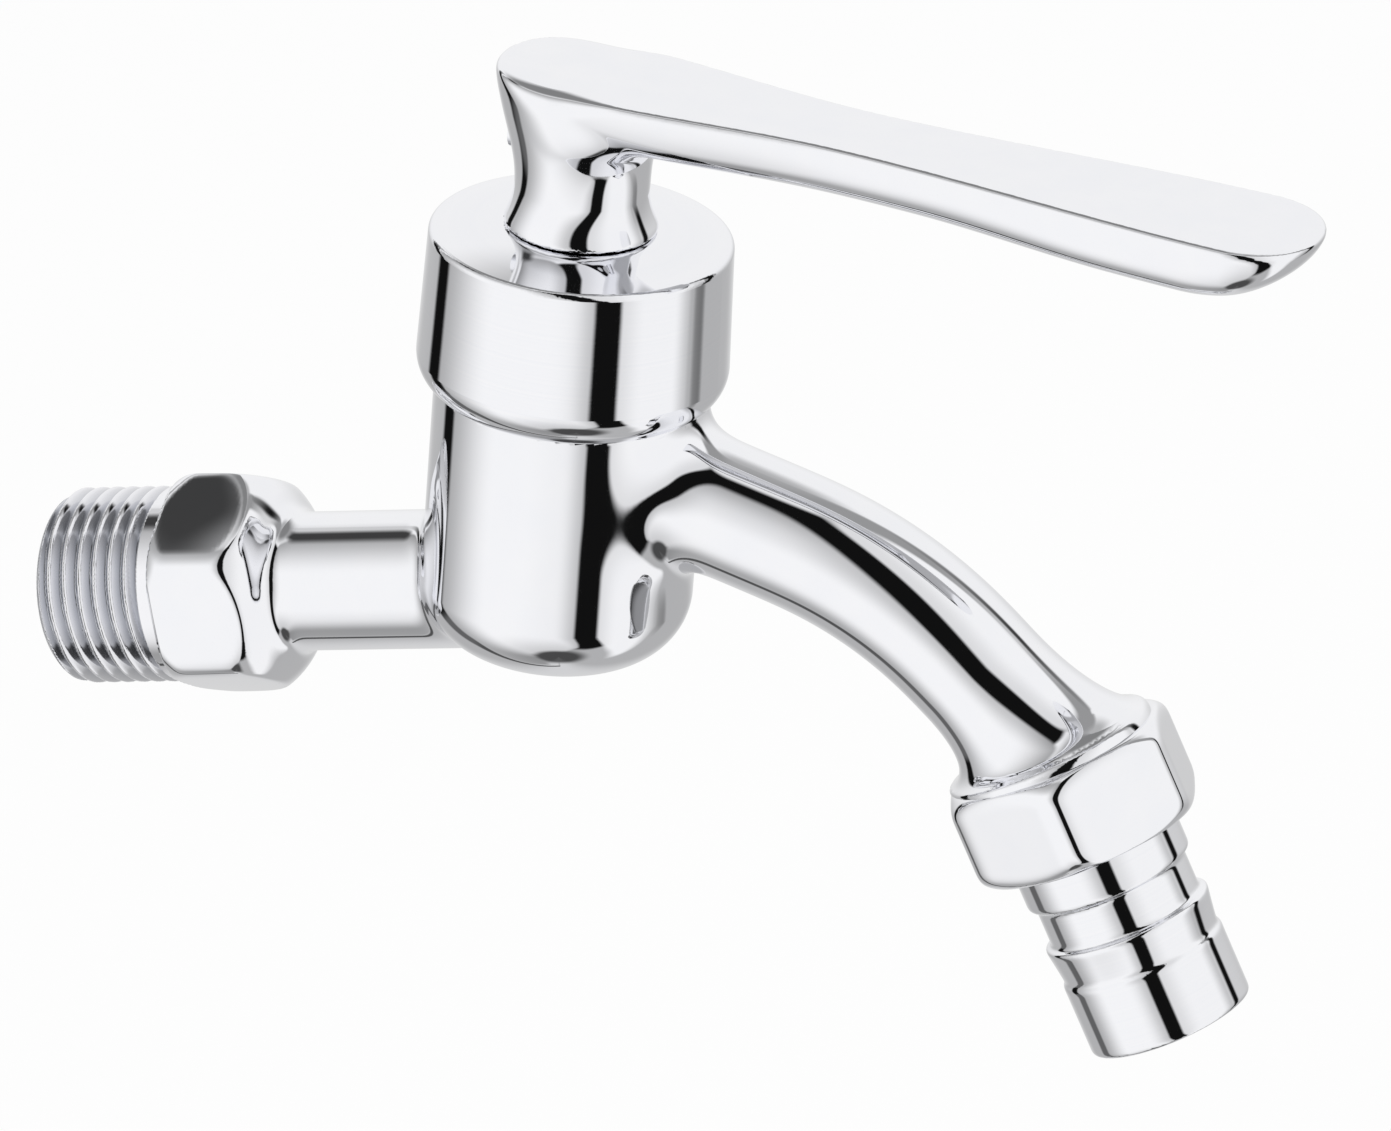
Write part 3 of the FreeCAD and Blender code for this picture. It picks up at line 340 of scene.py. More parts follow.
def bent_line(s):
    """The straight run and the bend that follows it: places and slope."""
    root = TOWER_FOOT[[0, 2]] + SPOUT_HEIGHT * np.array(
        [math.sin(TOWER_LEAN), math.cos(TOWER_LEAN)])
    way = np.array([math.cos(SPOUT_DROP), -math.sin(SPOUT_DROP)])
    side = np.array([math.sin(SPOUT_DROP), math.cos(SPOUT_DROP)])
    hub = root + way * SPOUT_STRAIGHT - side * BEND_RADIUS
    straight = root + np.outer(s, way)
    slope = SPOUT_DROP + np.clip((s - SPOUT_STRAIGHT) / BEND_RADIUS, 0, BEND_TURN)
    bend = hub + BEND_RADIUS * np.stack([np.sin(slope), np.cos(slope)], 1)
    return np.where((s > SPOUT_STRAIGHT)[:, None], bend, straight), slope


def flare_line(to_rim):
    """The flare's stretch, which settles onto the outlet's axis at the rim."""
    settling = np.clip(to_rim / FLARE_LENGTH, 0, 1) ** FLARE_SETTLE
    axis = np.array([math.sin(OUTLET_LEAN), -math.cos(OUTLET_LEAN)])
    across = np.array([math.cos(OUTLET_LEAN), math.sin(OUTLET_LEAN)])
    places = RIM[[0, 2]] - np.outer(to_rim, axis) \
        - np.outer(FLARE_SHIFT * settling, across)
    full = math.pi / 2 - OUTLET_LEAN
    return places, full - (full - SPOUT_DROP - BEND_TURN) * settling


def spout_line():
    """The middle line at even steps: place, slope and distance from the rim."""
    bend_end = SPOUT_STRAIGHT + BEND_RADIUS * BEND_TURN
    flare_run = math.hypot(FLARE_LENGTH, FLARE_SHIFT)
    s = np.arange(-15, bend_end + flare_run + 8, LINE_STEP)
    to_rim = (bend_end - s) * FLARE_LENGTH / flare_run + FLARE_LENGTH
    bent, bent_slope = bent_line(s)
    flare, flare_slope = flare_line(to_rim)
    in_flare = s > bend_end
    places = np.where(in_flare[:, None], flare, bent)
    slope = np.where(in_flare, flare_slope, bent_slope)
    return s, soften(places[:, 0]), soften(places[:, 1]), soften(slope), to_rim


LINE_S, LINE_X, LINE_Z, LINE_SLOPE, LINE_TO_RIM = spout_line()


def off_line(x, z, s):
    """How far a place lies ahead of the line's point s, and across from it."""
    slope = np.interp(s, LINE_S, LINE_SLOPE)
    off_x = x - np.interp(s, LINE_S, LINE_X)
    off_z = z - np.interp(s, LINE_S, LINE_Z)
    ahead = off_x * np.cos(slope) - off_z * np.sin(slope)
    across = off_x * np.sin(slope) + off_z * np.cos(slope)
    return ahead, across


def along_spout(x, y, z):
    """Place along the spout's line, distance from the line, and from the rim."""
    samples = slice(None, None, 30)
    flat_x, flat_z = np.broadcast_arrays(x, z)
    x1, z1 = flat_x.ravel()[:, None], flat_z.ravel()[:, None]
    nearest = np.hypot(x1 - LINE_X[samples], z1 - LINE_Z[samples]).argmin(axis=1)
    s = LINE_S[samples][nearest].reshape(flat_x.shape)
    for _ in range(4):
        ahead, _ = off_line(x, z, s)
        s = np.clip(s + ahead, LINE_S[0], LINE_S[-1])
    ahead, across = off_line(x, z, s)
    away = np.sqrt(across ** 2 + y ** 2 + ahead ** 2)
    return s, away, np.interp(s, LINE_S, LINE_TO_RIM)


def spout_shape(s, away, to_rim, depth):
    """The spout's outside: a round bar that opens like a trumpet at the rim."""
    opening = FLARE_RADIUS - SPOUT_RADIUS
    to_lip = to_rim - LIP_HEIGHT
    up = np.clip((FLARE_LENGTH - to_lip) / FLARE_LENGTH, 0, None)
    out = np.maximum(FLARE_RADIUS - away, 0) / opening
    power = TRUMPET_FULLNESS
    trumpet = (1 - (up ** power + out ** power) ** (1 / power)) * opening
    bar = np.where(to_lip > FLARE_LENGTH, away - SPOUT_RADIUS,
                   cut(trumpet, away - LIP_RADIUS, rounding=0.8))
    return np.maximum(cut(bar, depth - RIM_SEATED, rounding=0.8), -s)


# ---- the bores, and the casting as a whole

CHAMBER_BORE = 7.2
SEAT_BORE = 5.2
BARREL_BORE = 9.7
OUTLET_BORE = 6.2
OUTLET_THREAD_END = 5.9
CASTING_BOX = (13.4, -16, -32), (124, 16, 27)
CASTING_STEP = 0.45


def waterway(x, y, z, s, away, to_rim):
    """The bores, which meet in the tower's chamber."""
    height, _, radius = about_tower(x, y, z)
    depth, outlet_radius = about_outlet(x, y, z)
    chamber = drum(radius, height, CHAMBER_BORE, start=-4.6, end=5.6)
    seat = drum(radius, height, SEAT_BORE, start=5, end=8)
    barrel = drum(radius, height, BARREL_BORE, start=7, end=20)
    mouth = drum(radius, height, THREAD_RADIUS, start=17.58, end=TOWER_TOP + 1)
    spout = np.maximum(away - SPOUT_BORE, np.maximum(-s, -to_rim - 1))
    outlet = drum(outlet_radius, depth, OUTLET_BORE, start=-4, end=7)
    bores = inlet_bore(x, np.hypot(y, z))
    for bore in (chamber, seat, barrel, mouth, spout, outlet):
        bores = np.minimum(bores, bore)
    return bores


def casting_shape(x, y, z):
    """Hexagon, neck, tower and spout, cast as one and bored out."""
    s, away, to_rim = along_spout(x, y, z)
    depth, outlet_radius = about_outlet(x, y, z)
    height, _, _ = about_tower(x, y, z)
    neck = drum(np.hypot(y, z), x, NECK_RADIUS, THREAD_LENGTH, TOWER_FOOT[0])
    solid = join(hexagon_shape(x, y, z), neck, fillet=2.2)
    solid = join(solid, tower_shape(x, y, z), fillet=2.6)
    solid = join(solid, spout_shape(s, away, to_rim, depth), fillet=6.0)
    solid = cut(solid, height - TOWER_TOP - UNDER_CAP, rounding=0.4)
    thread_blank = drum(outlet_radius, depth, THREAD_RADIUS - 0.03,
                        start=-0.5, end=OUTLET_THREAD_END)
    solid = np.minimum(solid, thread_blank)
    return cut(solid, -waterway(x, y, z, s, away, to_rim), rounding=0.3)


# ---- lever: flat-topped arm on a waisted neck

LEVER_FOOT = 40.6
CAP_APEX = 40.9
CAP_CROWN = 1.4
CAP_RADIUS = 15.9
FOOT_GAP = 0.1
LEVER_TOP = 58.0
HEAD_BACK = 1.65
HEAD_RADIUS = 8.5
NECK_WAIST_BACK = 0.35
NECK_WAIST = 7.05
NECK_WAIST_HEIGHT = 45.0
FOOT_SPREAD = 1.3
FOOT_RECENTRED = 0.6
ARM_WAIST_REACH = 29.0
ARM_WAIST = 5.85
TIP_REACH = 72.3
TIP_RADIUS = 8.4
ARM_DEPTH = 6.25
TIP_SWEEP = 13.0
TIP_EDGE = 1.5
TIP_CHANGE_START = 38.0
TIP_CHANGE_END = 60.0
TIP_BELLY = 0.25
ARM_FILLET = 0.4
ARM_FILLET_GAIN = 5.2
UNDER_ROUND = 6.9
TIP_UNDER_SHARPER = 1.3
TOP_ROUND = 1.2
HEAD_TOP_ROUNDER = 2.6
BUSH_BORE = 5.63
BUSH_FLANGE_BORE = 6.43
BUSH_FLANGE_TOP = 43.03
BUSH_BORE_TOP = 53.23
SCREW_HEIGHT = 49.6
SCREW_BORE = 2.03
LEVER_BOX = (56, -10, 17), (151, 10, 60)
LEVER_STEP = 0.36


def ease(value, start, end):
    """Runs from 0 at the start to 1 at the end and leaves both ends level."""
    share = np.clip((value - start) / (end - start), 0, 1)
    return share * share * (3 - 2 * share)


def neck_round(height):
    """The neck's radius at a height, and how far it leans back from the axis."""
    climb = ease(height, NECK_WAIST_HEIGHT, LEVER_TOP + 0.5)
    radius = NECK_WAIST + (HEAD_RADIUS - NECK_WAIST) * climb
    back = NECK_WAIST_BACK + (HEAD_BACK - NECK_WAIST_BACK) * climb
    return radius, back


def arm_shape(height, reach, y):
    """The arm: its outline from above, and its underside, swept up at the tip."""
    radius, back = neck_round(height)
    # Near the neck the walls follow it, and 14 mm out they stand upright.
    head = radius + (HEAD_RADIUS - radius) * ease(reach, 0, 14)
    width = (head + (ARM_WAIST - head) * ease(reach, -HEAD_BACK, ARM_WAIST_REACH)
             + (TIP_RADIUS - ARM_WAIST) * ease(reach, ARM_WAIST_REACH, TIP_REACH))
    past = np.where(reach < 0, np.minimum(reach + back, 0),
                    np.maximum(reach - TIP_REACH, 0))
    outline = np.hypot(past, y) - width
    rise = ARM_DEPTH - TIP_EDGE
    bow = (TIP_SWEEP ** 2 + rise ** 2) / (2 * rise)
    swept = np.clip(reach - (TIP_REACH + TIP_RADIUS - TIP_SWEEP), 0, bow * 0.9)
    towards_tip = ease(reach, TIP_CHANGE_START, TIP_CHANGE_END)
    belly = TIP_BELLY * towards_tip
    floor = LEVER_TOP - ARM_DEPTH - belly + bow - np.sqrt(bow ** 2 - swept ** 2)
    below = (floor - height) / np.hypot(1, swept / np.sqrt(bow ** 2 - swept ** 2))
    return cut(outline, below, UNDER_ROUND - TIP_UNDER_SHARPER * towards_tip)


def neck_shape(height, reach, y):
    """The neck: a flared foot, a waist, and a head that swells backwards."""
    radius, back = neck_round(height)
    below = (NECK_WAIST_HEIGHT - height) / (NECK_WAIST_HEIGHT - LEVER_FOOT)
    flare = np.clip(below, 0, 1) ** 2
    away = (np.hypot(reach + back * (1 - flare * FOOT_RECENTRED), y)
            - radius - FOOT_SPREAD * flare)
    crown = CAP_APEX - CAP_CROWN * (reach ** 2 + y ** 2) / CAP_RADIUS ** 2
    return cut(away, crown + FOOT_GAP - height, rounding=1.1)


def lever_shape(x, y, z):
    """The lever, bored for its bush and for the screw at its back."""
    height, reach, radius = about_tower(x, y, z)
    # The fillet is full under the arm and fades at the head's back and top.
    fillet = (ARM_FILLET
              + ARM_FILLET_GAIN * ease(reach, -6, 4) * ease(height, 56.5, 51))
    solid = join(arm_shape(height, reach, y), neck_shape(height, reach, y), fillet)
    # The top edge is rounder over the head.
    edge_round = TOP_ROUND + HEAD_TOP_ROUNDER * ease(np.abs(reach + HEAD_BACK), 8, 0)
    solid = cut(solid, height - LEVER_TOP, edge_round)
    flange = drum(radius, height, BUSH_FLANGE_BORE, LEVER_FOOT - 1, BUSH_FLANGE_TOP)
    bush = drum(radius, height, BUSH_BORE, LEVER_FOOT - 1, BUSH_BORE_TOP)
    screw = drum(np.hypot(height - SCREW_HEIGHT, y), reach, SCREW_BORE,
                 start=-15, end=0)
    bores = np.minimum(screw, np.minimum(flange, bush))
    return cut(solid, -bores, rounding=0.3)


# ---- union nut and hose nozzle, about the outlet's axis

NUT_TOP = 0.15
NUT_FOOT = 10.7
NUT_HALF_FLATS = 11.8
NUT_TURN = math.radians(11)
NUT_CORNER_ROUND = 2.4
NUT_CHAMFER = 1.25
NUT_CHAMFER_INSIDE = 0.2
NUT_MOUTH = 9.6
NUT_THREAD_START = 0.5
NUT_LIP_START = 9.0
NUT_LIP_BORE = 9.2
NUT_BOX = (95, -14, -37), (127, 14, -12)
NUT_STEP = 0.3
NOZZLE_START = 7.4
NOZZLE_FLANGE = 10.0
NOZZLE_FLANGE_END = 8.9
NOZZLE_END = 31.9
NOZZLE_BORE = 6.2
NOZZLE_LEDGE = 0.8
NOZZLE_BOX = (101, -11, -54), (128, 11, -24)
NOZZLE_STEP = 0.25
COLLAR_RADIUS = 9.05
COLLAR_END = 15.1
WAIST_RADIUS = 8.3
RIDGE_RADIUS = 9.15
RIDGE_START = 19.6
RIDGE_TAPER = 0.155
TAIL_RADIUS = 8.87
TAIL_START = 23.9


def nut_shape(x, y, z):
    """The union nut: a hexagon whose corners are turned down at both ends."""
    depth, radius = about_outlet(x, y, z)
    across, rise = x - RIM[0], z - RIM[2]
    reach = -(across * math.cos(OUTLET_LEAN) + rise * math.sin(OUTLET_LEAN))
    sides = None
    for side in range(3):
        turn = NUT_TURN + math.radians(30 + 60 * side)
        flat = np.abs(reach * math.cos(turn) + y * math.sin(turn)) - NUT_HALF_FLATS
        sides = flat if sides is None else cut(sides, flat, NUT_CORNER_ROUND)
    corner = NUT_HALF_FLATS / math.cos(math.radians(30))
    slope = NUT_CHAMFER / (corner - NUT_HALF_FLATS)
    tilt = math.hypot(1, slope)
    for end in (NUT_TOP - depth, depth - NUT_FOOT):
        inward = radius - NUT_HALF_FLATS + NUT_CHAMFER_INSIDE
        chamfer = (end + inward * slope) / tilt
        sides = cut(sides, chamfer, rounding=1.5)
        sides = cut(sides, end, rounding=0.5)
    mouth = drum(radius, depth, NUT_MOUTH, NUT_TOP - 1, NUT_LIP_START)
    thread = drum(radius, depth, THREAD_RADIUS, NUT_THREAD_START, NUT_LIP_START)
    lip = drum(radius, depth, NUT_LIP_BORE, 0, NUT_FOOT + 1)
    return cut(sides, -np.minimum(mouth, np.minimum(thread, lip)), rounding=0.3)


def nozzle_shape(x, y, z):
    """The hose nozzle: flange, collar, waist, one tapering ridge and a tail."""
    depth, radius = about_outlet(x, y, z)
    collar = cut(radius - COLLAR_RADIUS, depth - COLLAR_END, NOZZLE_LEDGE)
    taper = RIDGE_TAPER * (depth - RIDGE_START)
    ridge = (radius - RIDGE_RADIUS + taper) / math.hypot(1, RIDGE_TAPER)
    ridge = cut(ridge, RIDGE_START - depth, NOZZLE_LEDGE)
    tail = cut(radius - TAIL_RADIUS, TAIL_START - depth, NOZZLE_LEDGE)
    flange = drum(radius, depth, NOZZLE_FLANGE, NOZZLE_START, NOZZLE_FLANGE_END)
    solid = radius - WAIST_RADIUS
    for part in (collar, ridge, tail):
        solid = join(solid, part, NOZZLE_LEDGE)
    solid = np.minimum(np.maximum(solid, NOZZLE_START - depth), flange)
    solid = cut(solid, depth - NOZZLE_END, rounding=0.7)
    return cut(solid, NOZZLE_BORE - radius, rounding=0.4)


def make_skins():
    """The softly rounded pieces, each on its body and in its node's place."""
    made = {}
    for name, shape, box, step, body, node in (
            ("inlet_thread", thread_shape, THREAD_BOX, THREAD_STEP,
             "tap", "valve_body"),
            ("casting", casting_shape, CASTING_BOX, CASTING_STEP,
             "tap", "valve_body"),
            ("lever", lever_shape, LEVER_BOX, LEVER_STEP, "lever", "lever_handle"),
            ("nut", nut_shape, NUT_BOX, NUT_STEP, "tap", "union_nut"),
            ("nozzle", nozzle_shape, NOZZLE_BOX, NOZZLE_STEP,
             "tap", "hose_nozzle")):
        piece = skin(name, shape, *box, step)
        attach(piece, body)
        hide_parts(node)
        made[name] = piece
    return made


# ------------------------------------------------------------------- finishes

def along_axis(tree, place, foot, axis):
    """How far a point lies along a turned part's axis, in metres."""
    from_foot = add(tree, "VectorMath", {0: place, 1: foot}, operation="SUBTRACT")
    return add(tree, "VectorMath", {0: from_foot, 1: axis},
               operation="DOT_PRODUCT")


def cast_chrome():
    """Bright chrome on a brass casting that was ground and buffed by hand.

    The eye sees a nearly perfect mirror.  The buffing wheel leaves broad, very
    shallow waves, and slightly duller patches where it pressed less.  The
    plating doesn't reach into the inlet's bore, which stays bare brass.
    """
    wave_mm = 11
    wave_height_mm = 0.006
    patch_mm = 4
    finish, tree, place = new_finish("bright_chrome_on_buffed_casting")
    waves = add(tree, "TexNoise", {"Vector": place, "Scale": per_mm(wave_mm),
                                   "Detail": 1.0})
    patches = add(tree, "TexNoise", {"Vector": place, "Scale": per_mm(patch_mm),
                                     "Detail": 3.0})
    dullness = add(tree, "MapRange", {"Value": patches,
                                      "From Min": 0.35, "From Max": 0.75,
                                      "To Min": 0.02, "To Max": 0.055})
    tone = add(tree, "Mix", {"Factor": patches,
                             "A": linear("#F1F2F6"), "B": linear("#F6F6F8")},
               data_type="RGBA")
    bore, _ = inside_inlet(tree, place)
    tone = add(tree, "Mix", {"Factor": bore, "A": tone, "B": linear("#C9A05A")},
               data_type="RGBA")
    relief = add(tree, "Bump", {"Height": waves,
                                "Distance": wave_height_mm * MM})
    shader = add(tree, "BsdfPrincipled", {
        "Base Color": tone, "Metallic": 1.0, "Roughness": dullness,
        "Normal": relief})
    add(tree, "OutputMaterial", {"Surface": shader})
    return finish


def inside_inlet(tree, place):
    """1 in the inlet's bore and 0 elsewhere, and the radius about its axis."""
    off_axis = add(tree, "VectorMath", (place, (0.0, 1.0, 1.0)),
                   operation="MULTIPLY")
    radius = add(tree, "VectorMath", (off_axis,), give="Value", operation="LENGTH")
    along = add(tree, "SeparateXYZ", (place,), give="X")
    narrow = add(tree, "Math", (radius, (INLET_BORE + 0.15) * MM),
                 operation="LESS_THAN")
    short = add(tree, "Math", (along, (BORE_STEP + 2) * MM), operation="LESS_THAN")
    bore = add(tree, "Math", (narrow, short), operation="MULTIPLY")
    return bore, radius


def threaded_chrome():
    """Thin chrome on a cut thread: bright crests over painted shade in the grooves.

    Plating builds up on the crests and hardly reaches the bottoms, which makes the
    grooves duller; their grey is painted shade.  The bore inside stays bare brass.
    """
    chatter_mm = 1.2
    chatter_height_mm = 0.003
    finish, tree, place = new_finish("thin_chrome_on_cut_thread_with_painted_groove_shade")
    bore, radius = inside_inlet(tree, place)
    chatter = add(tree, "TexNoise", {"Vector": place, "Scale": per_mm(chatter_mm),
                                     "Detail": 3.0})
    groove = (THREAD_RADIUS - THREAD_DEPTH) * MM
    # Painted shade: the colour greys towards the groove bottoms, and the roughness there is duller for the thinner
    # plating.
    crest = add(tree, "MapRange", (radius, groove, THREAD_RADIUS * MM, 0.0, 1.0))
    plating_with_painted_groove_shade = add(tree, "Mix", {"Factor": crest, "A": linear("#C2C4CA"),
                               "B": linear("#F4F4F7")}, data_type="RGBA")
    tone = add(tree, "Mix", {"Factor": bore, "A": plating_with_painted_groove_shade,
                             "B": linear("#C9A05A")}, data_type="RGBA")
    polished = add(tree, "MapRange", (crest, 0.0, 1.0, 0.12, 0.04))
    dullness = add(tree, "Mix", {"Factor": bore, "A": polished, "B": 0.3},
                   data_type="FLOAT")
    relief = add(tree, "Bump", {"Height": chatter,
                                "Distance": chatter_height_mm * MM})
    shader = add(tree, "BsdfPrincipled", {
        "Base Color": tone, "Metallic": 1.0, "Roughness": dullness,
        "Normal": relief})
    add(tree, "OutputMaterial", {"Surface": shader})
    return finish


def turned_chrome(name, foot, axis):
    """Bright chrome on turned and polished brass, with rings round its axis.

    The eye sees a mirror whose highlights spread a little along the axis,
    because the lathe's feed marks are not quite polished out.
    """
    feed_mm = 0.35          # real feed is about 0.08 mm, drawn coarser to show
    ring_height_mm = 0.0004
    finish, tree, place = new_finish(name)
    height = along_axis(tree, place, foot, axis)
    rings = add(tree, "TexNoise", {"W": height, "Scale": per_mm(feed_mm),
                                   "Detail": 2.0}, noise_dimensions="1D")
    dullness = add(tree, "MapRange", {"Value": rings,
                                      "From Min": 0.3, "From Max": 0.8,
                                      "To Min": 0.02, "To Max": 0.05})
    tone = add(tree, "Mix", {"Factor": rings,
                             "A": linear("#F1F2F6"), "B": linear("#F6F6F8")},
               data_type="RGBA")
    relief = add(tree, "Bump", {"Height": rings,
                                "Distance": ring_height_mm * MM})
    shader = add(tree, "BsdfPrincipled", {
        "Base Color": tone, "Metallic": 1.0, "Roughness": dullness,
        "Normal": relief})
    add(tree, "OutputMaterial", {"Surface": shader})
    return finish


def turned_metal(name, dark, light, dullest, foot, axis):
    """Bare turned metal: fine rings of light and dark round its axis."""
    feed_mm = 0.3           # real feed is about 0.1 mm, drawn coarser to show
    ring_height_mm = 0.004
    finish, tree, place = new_finish(name)
    height = along_axis(tree, place, foot, axis)
    rings = add(tree, "TexNoise", {"W": height, "Scale": per_mm(feed_mm),
                                   "Detail": 3.0}, noise_dimensions="1D")
    tone = add(tree, "Mix", {"Factor": rings,
                             "A": linear(dark), "B": linear(light)},
               data_type="RGBA")
    dullness = add(tree, "MapRange", {"Value": rings,
                                      "To Min": dullest, "To Max": dullest / 2})
    relief = add(tree, "Bump", {"Height": rings,
                                "Distance": ring_height_mm * MM})
    shader = add(tree, "BsdfPrincipled", {
        "Base Color": tone, "Metallic": 1.0, "Roughness": dullness,
        "Normal": relief})
    add(tree, "OutputMaterial", {"Surface": shader})
    return finish


def grained(name, dark, light, grain_mm, grain_height_mm, dullness, ior):
    """A non-metal with a fine grain: lapped ceramic, rubber, fibre or plastic."""
    finish, tree, place = new_finish(name)
    grain = add(tree, "TexNoise", {"Vector": place, "Scale": per_mm(grain_mm),
                                   "Detail": 4.0})
    tone = add(tree, "Mix", {"Factor": grain,
                             "A": linear(dark), "B": linear(light)},
               data_type="RGBA")
    relief = add(tree, "Bump", {"Height": grain,
                                "Distance": grain_height_mm * MM})
    shader = add(tree, "BsdfPrincipled", {
        "Base Color": tone, "Roughness": dullness,
        "IOR": ior, "Normal": relief})
    add(tree, "OutputMaterial", {"Surface": shader})
    return finish


def dress():
    """Gives every skin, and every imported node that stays, its finish."""
    hose_mount = next(m for m in frame["record"]["mounts"]
                      if m["name"] == "hose_tail")
    nozzle_axis = Vector(hose_mount["axis"])
    nozzle_foot = Vector(hose_mount["pos_m"])
    buffed = cast_chrome()
    turned = turned_chrome("bright_chrome_on_turned_nozzle", nozzle_foot, nozzle_axis)
    special = {"nozzle": turned, "inlet_thread": threaded_chrome()}
    for name, piece in make_skins().items():
        piece.data.materials.append(special.get(name, buffed))
    wear(turned_chrome("bright_chrome_on_turned_cap", tower_foot, tower_axis),
         "cap", "screw_plug")
    # Free-cutting brass, turned: warm yellow with fine rings.
    wear(turned_metal("turned_brass", "#B98E45", "#DDBB72", 0.32,
                      tower_foot, tower_axis),
         "headwork_shell", "spindle")
    # Stainless spring steel: cooler and darker than the chrome.
    wear(turned_metal("stainless_steel", "#8E9094", "#B9BBBE", 0.36,
                      tower_foot, tower_axis),
         "spindle_clip", "handle_screw")
    # Lapped alumina: warm white, smooth, with a grain too fine to feel.
    wear(grained("lapped_alumina", "#DAD6CC", "#F0EDE5", 0.3, 0.001, 0.22, 1.76),
         "fixed_disc", "rotating_disc")
    # Nitrile rubber: nearly black, moulded, with a soft bloom.
    wear(grained("nitrile_rubber", "#151516", "#2A2A2B", 0.6, 0.01, 0.58, 1.52),
         "seat_seal", "cap_seal", "nozzle_gasket",
         "spindle_ring_lower", "spindle_ring_upper")
    # Vulcanised fibre: red brown, matt, with short fibres.
    wear(grained("vulcanised_fibre", "#6E3524", "#9A5A41", 0.5, 0.02, 0.7, 1.5),
         "headwork_gasket")
    # Acetal: milky white, slightly waxy.
    wear(grained("acetal", "#DEDCD4", "#EFEDE6", 0.8, 0.003, 0.35, 1.48),
         "thrust_washer", "handle_bush")


# --------------------------------------------------------------------- camera

# The photograph's camera, found from the tap's own outline.
PHOTO_WIDTH = 1391
FOCAL_PIXELS = 12500
SENSOR_MM = 36
CAMERA_AZIMUTH = math.radians(26.85)
CAMERA_ELEVATION = math.radians(19.36)
CAMERA_ROLL = math.radians(-10.58)
CAMERA_DISTANCE_MM = 1310
AIM_START_MM = (60, 0, 0)
AIM_RIGHT_MM = 11.69
AIM_UP_MM = 1.10


def camera_directions():
    """The camera's own right, up and backward directions, in the row frame."""
    back = Vector((math.sin(CAMERA_AZIMUTH) * math.cos(CAMERA_ELEVATION),
                   -math.cos(CAMERA_AZIMUTH) * math.cos(CAMERA_ELEVATION),
                   math.sin(CAMERA_ELEVATION)))
    level = Vector((math.cos(CAMERA_AZIMUTH), math.sin(CAMERA_AZIMUTH), 0))
    upright = back.cross(level)
    right = level * math.cos(CAMERA_ROLL) + upright * math.sin(CAMERA_ROLL)
    up = upright * math.cos(CAMERA_ROLL) - level * math.sin(CAMERA_ROLL)
    return right, up, back


def place_camera():
    """Sets up the photograph's view with a long lens, as the photo has."""
    right, up, back = camera_directions()
    aim = Vector(AIM_START_MM) + right * AIM_RIGHT_MM + up * AIM_UP_MM
    eye = (aim + back * CAMERA_DISTANCE_MM) * MM
    data = bpy.data.cameras.new("photo_camera")
    data.sensor_fit = "HORIZONTAL"
    data.sensor_width = SENSOR_MM
    data.lens = FOCAL_PIXELS * SENSOR_MM / PHOTO_WIDTH
    data.clip_start, data.clip_end = 0.05, 200
    camera = bpy.data.objects.new("photo_camera", data)
    camera.matrix_world = Matrix((
        (right.x, up.x, back.x, eye.x),
        (right.y, up.y, back.y, eye.y),
        (right.z, up.z, back.z, eye.z),
        (0, 0, 0, 1)))
    bpy.context.collection.objects.link(camera)
    bpy.context.scene.camera = camera


# --------------------------------------------------------------------- studio

# How much light the black flags and the screen still give, 1 being white.
BLACK = 0.006


def studio_angles(tree):
    """Bearing and height of a direction as seen from the tap, in degrees.

    Bearing 0 is towards the photograph's camera and grows to its right, and
    height is measured from the camera's own level.
    """
    direction = add(tree, "TexCoord", give="Generated")
    across, rise, towards = (
        add(tree, "VectorMath", (direction, axis), operation="DOT_PRODUCT")
        for axis in camera_directions())
    bearing = add(tree, "Math", (across, towards), operation="ARCTAN2")
    height = add(tree, "Math", (rise,), operation="ARCSINE")
    return [add(tree, "Math", (turn,), operation="DEGREES")
            for turn in (bearing, height)]


def falloff(tree, *parts):
    """The product of soft changes: each an angle, its span and two levels."""
    light = 1.0
    for angle, start, end, level, end_level in parts:
        part = add(tree, "MapRange", (angle, start, end, level, end_level),
                   interpolation_type="SMOOTHSTEP")
        light = add(tree, "Math", (light, part), operation="MULTIPLY")
    return light


def sway(tree, angle, start, gain, most=60.0):
    """How far the walls swing aside where an angle is below its start."""
    beyond = add(tree, "Math", (angle, start), operation="SUBTRACT")
    beyond = add(tree, "Math", (beyond, 0.0), operation="MINIMUM")
    square = add(tree, "Math", (beyond, beyond), operation="MULTIPLY")
    swing = add(tree, "Math", (square, gain), operation="MULTIPLY")
    return add(tree, "Math", (swing, most), operation="MINIMUM")


def window(tree, angles, middle, half_size, edge):
    """1 inside a window with rounded corners, and 0 outside it."""
    squareness = 4.0
    parts = []
    for angle, centre, half in zip(angles, middle, half_size):
        offset = add(tree, "Math", (angle, centre), operation="SUBTRACT")
        offset = add(tree, "Math", (offset,), operation="ABSOLUTE")
        share = add(tree, "Math", (offset, half), operation="DIVIDE")
        parts.append(add(tree, "Math", (share, squareness), operation="POWER"))
    reach = add(tree, "Math", parts, operation="ADD")
    reach = add(tree, "Math", (reach, 1 / squareness), operation="POWER")
    outside = add(tree, "Math", (reach, 1.0), operation="SUBTRACT")
    outside = add(tree, "Math", (outside, min(half_size)), operation="MULTIPLY")
    return falloff(tree, (outside, -edge, edge, 1.0, 0.0))


def hang(tree, light, angles, middle, half_size, edge, level):
    """Hangs a wall or a flag with a light of its own in a window's place."""
    mask = window(tree, angles, middle, half_size, edge)
    return add(tree, "Mix", {"Factor": mask, "A": light, "B": level},
               data_type="FLOAT")


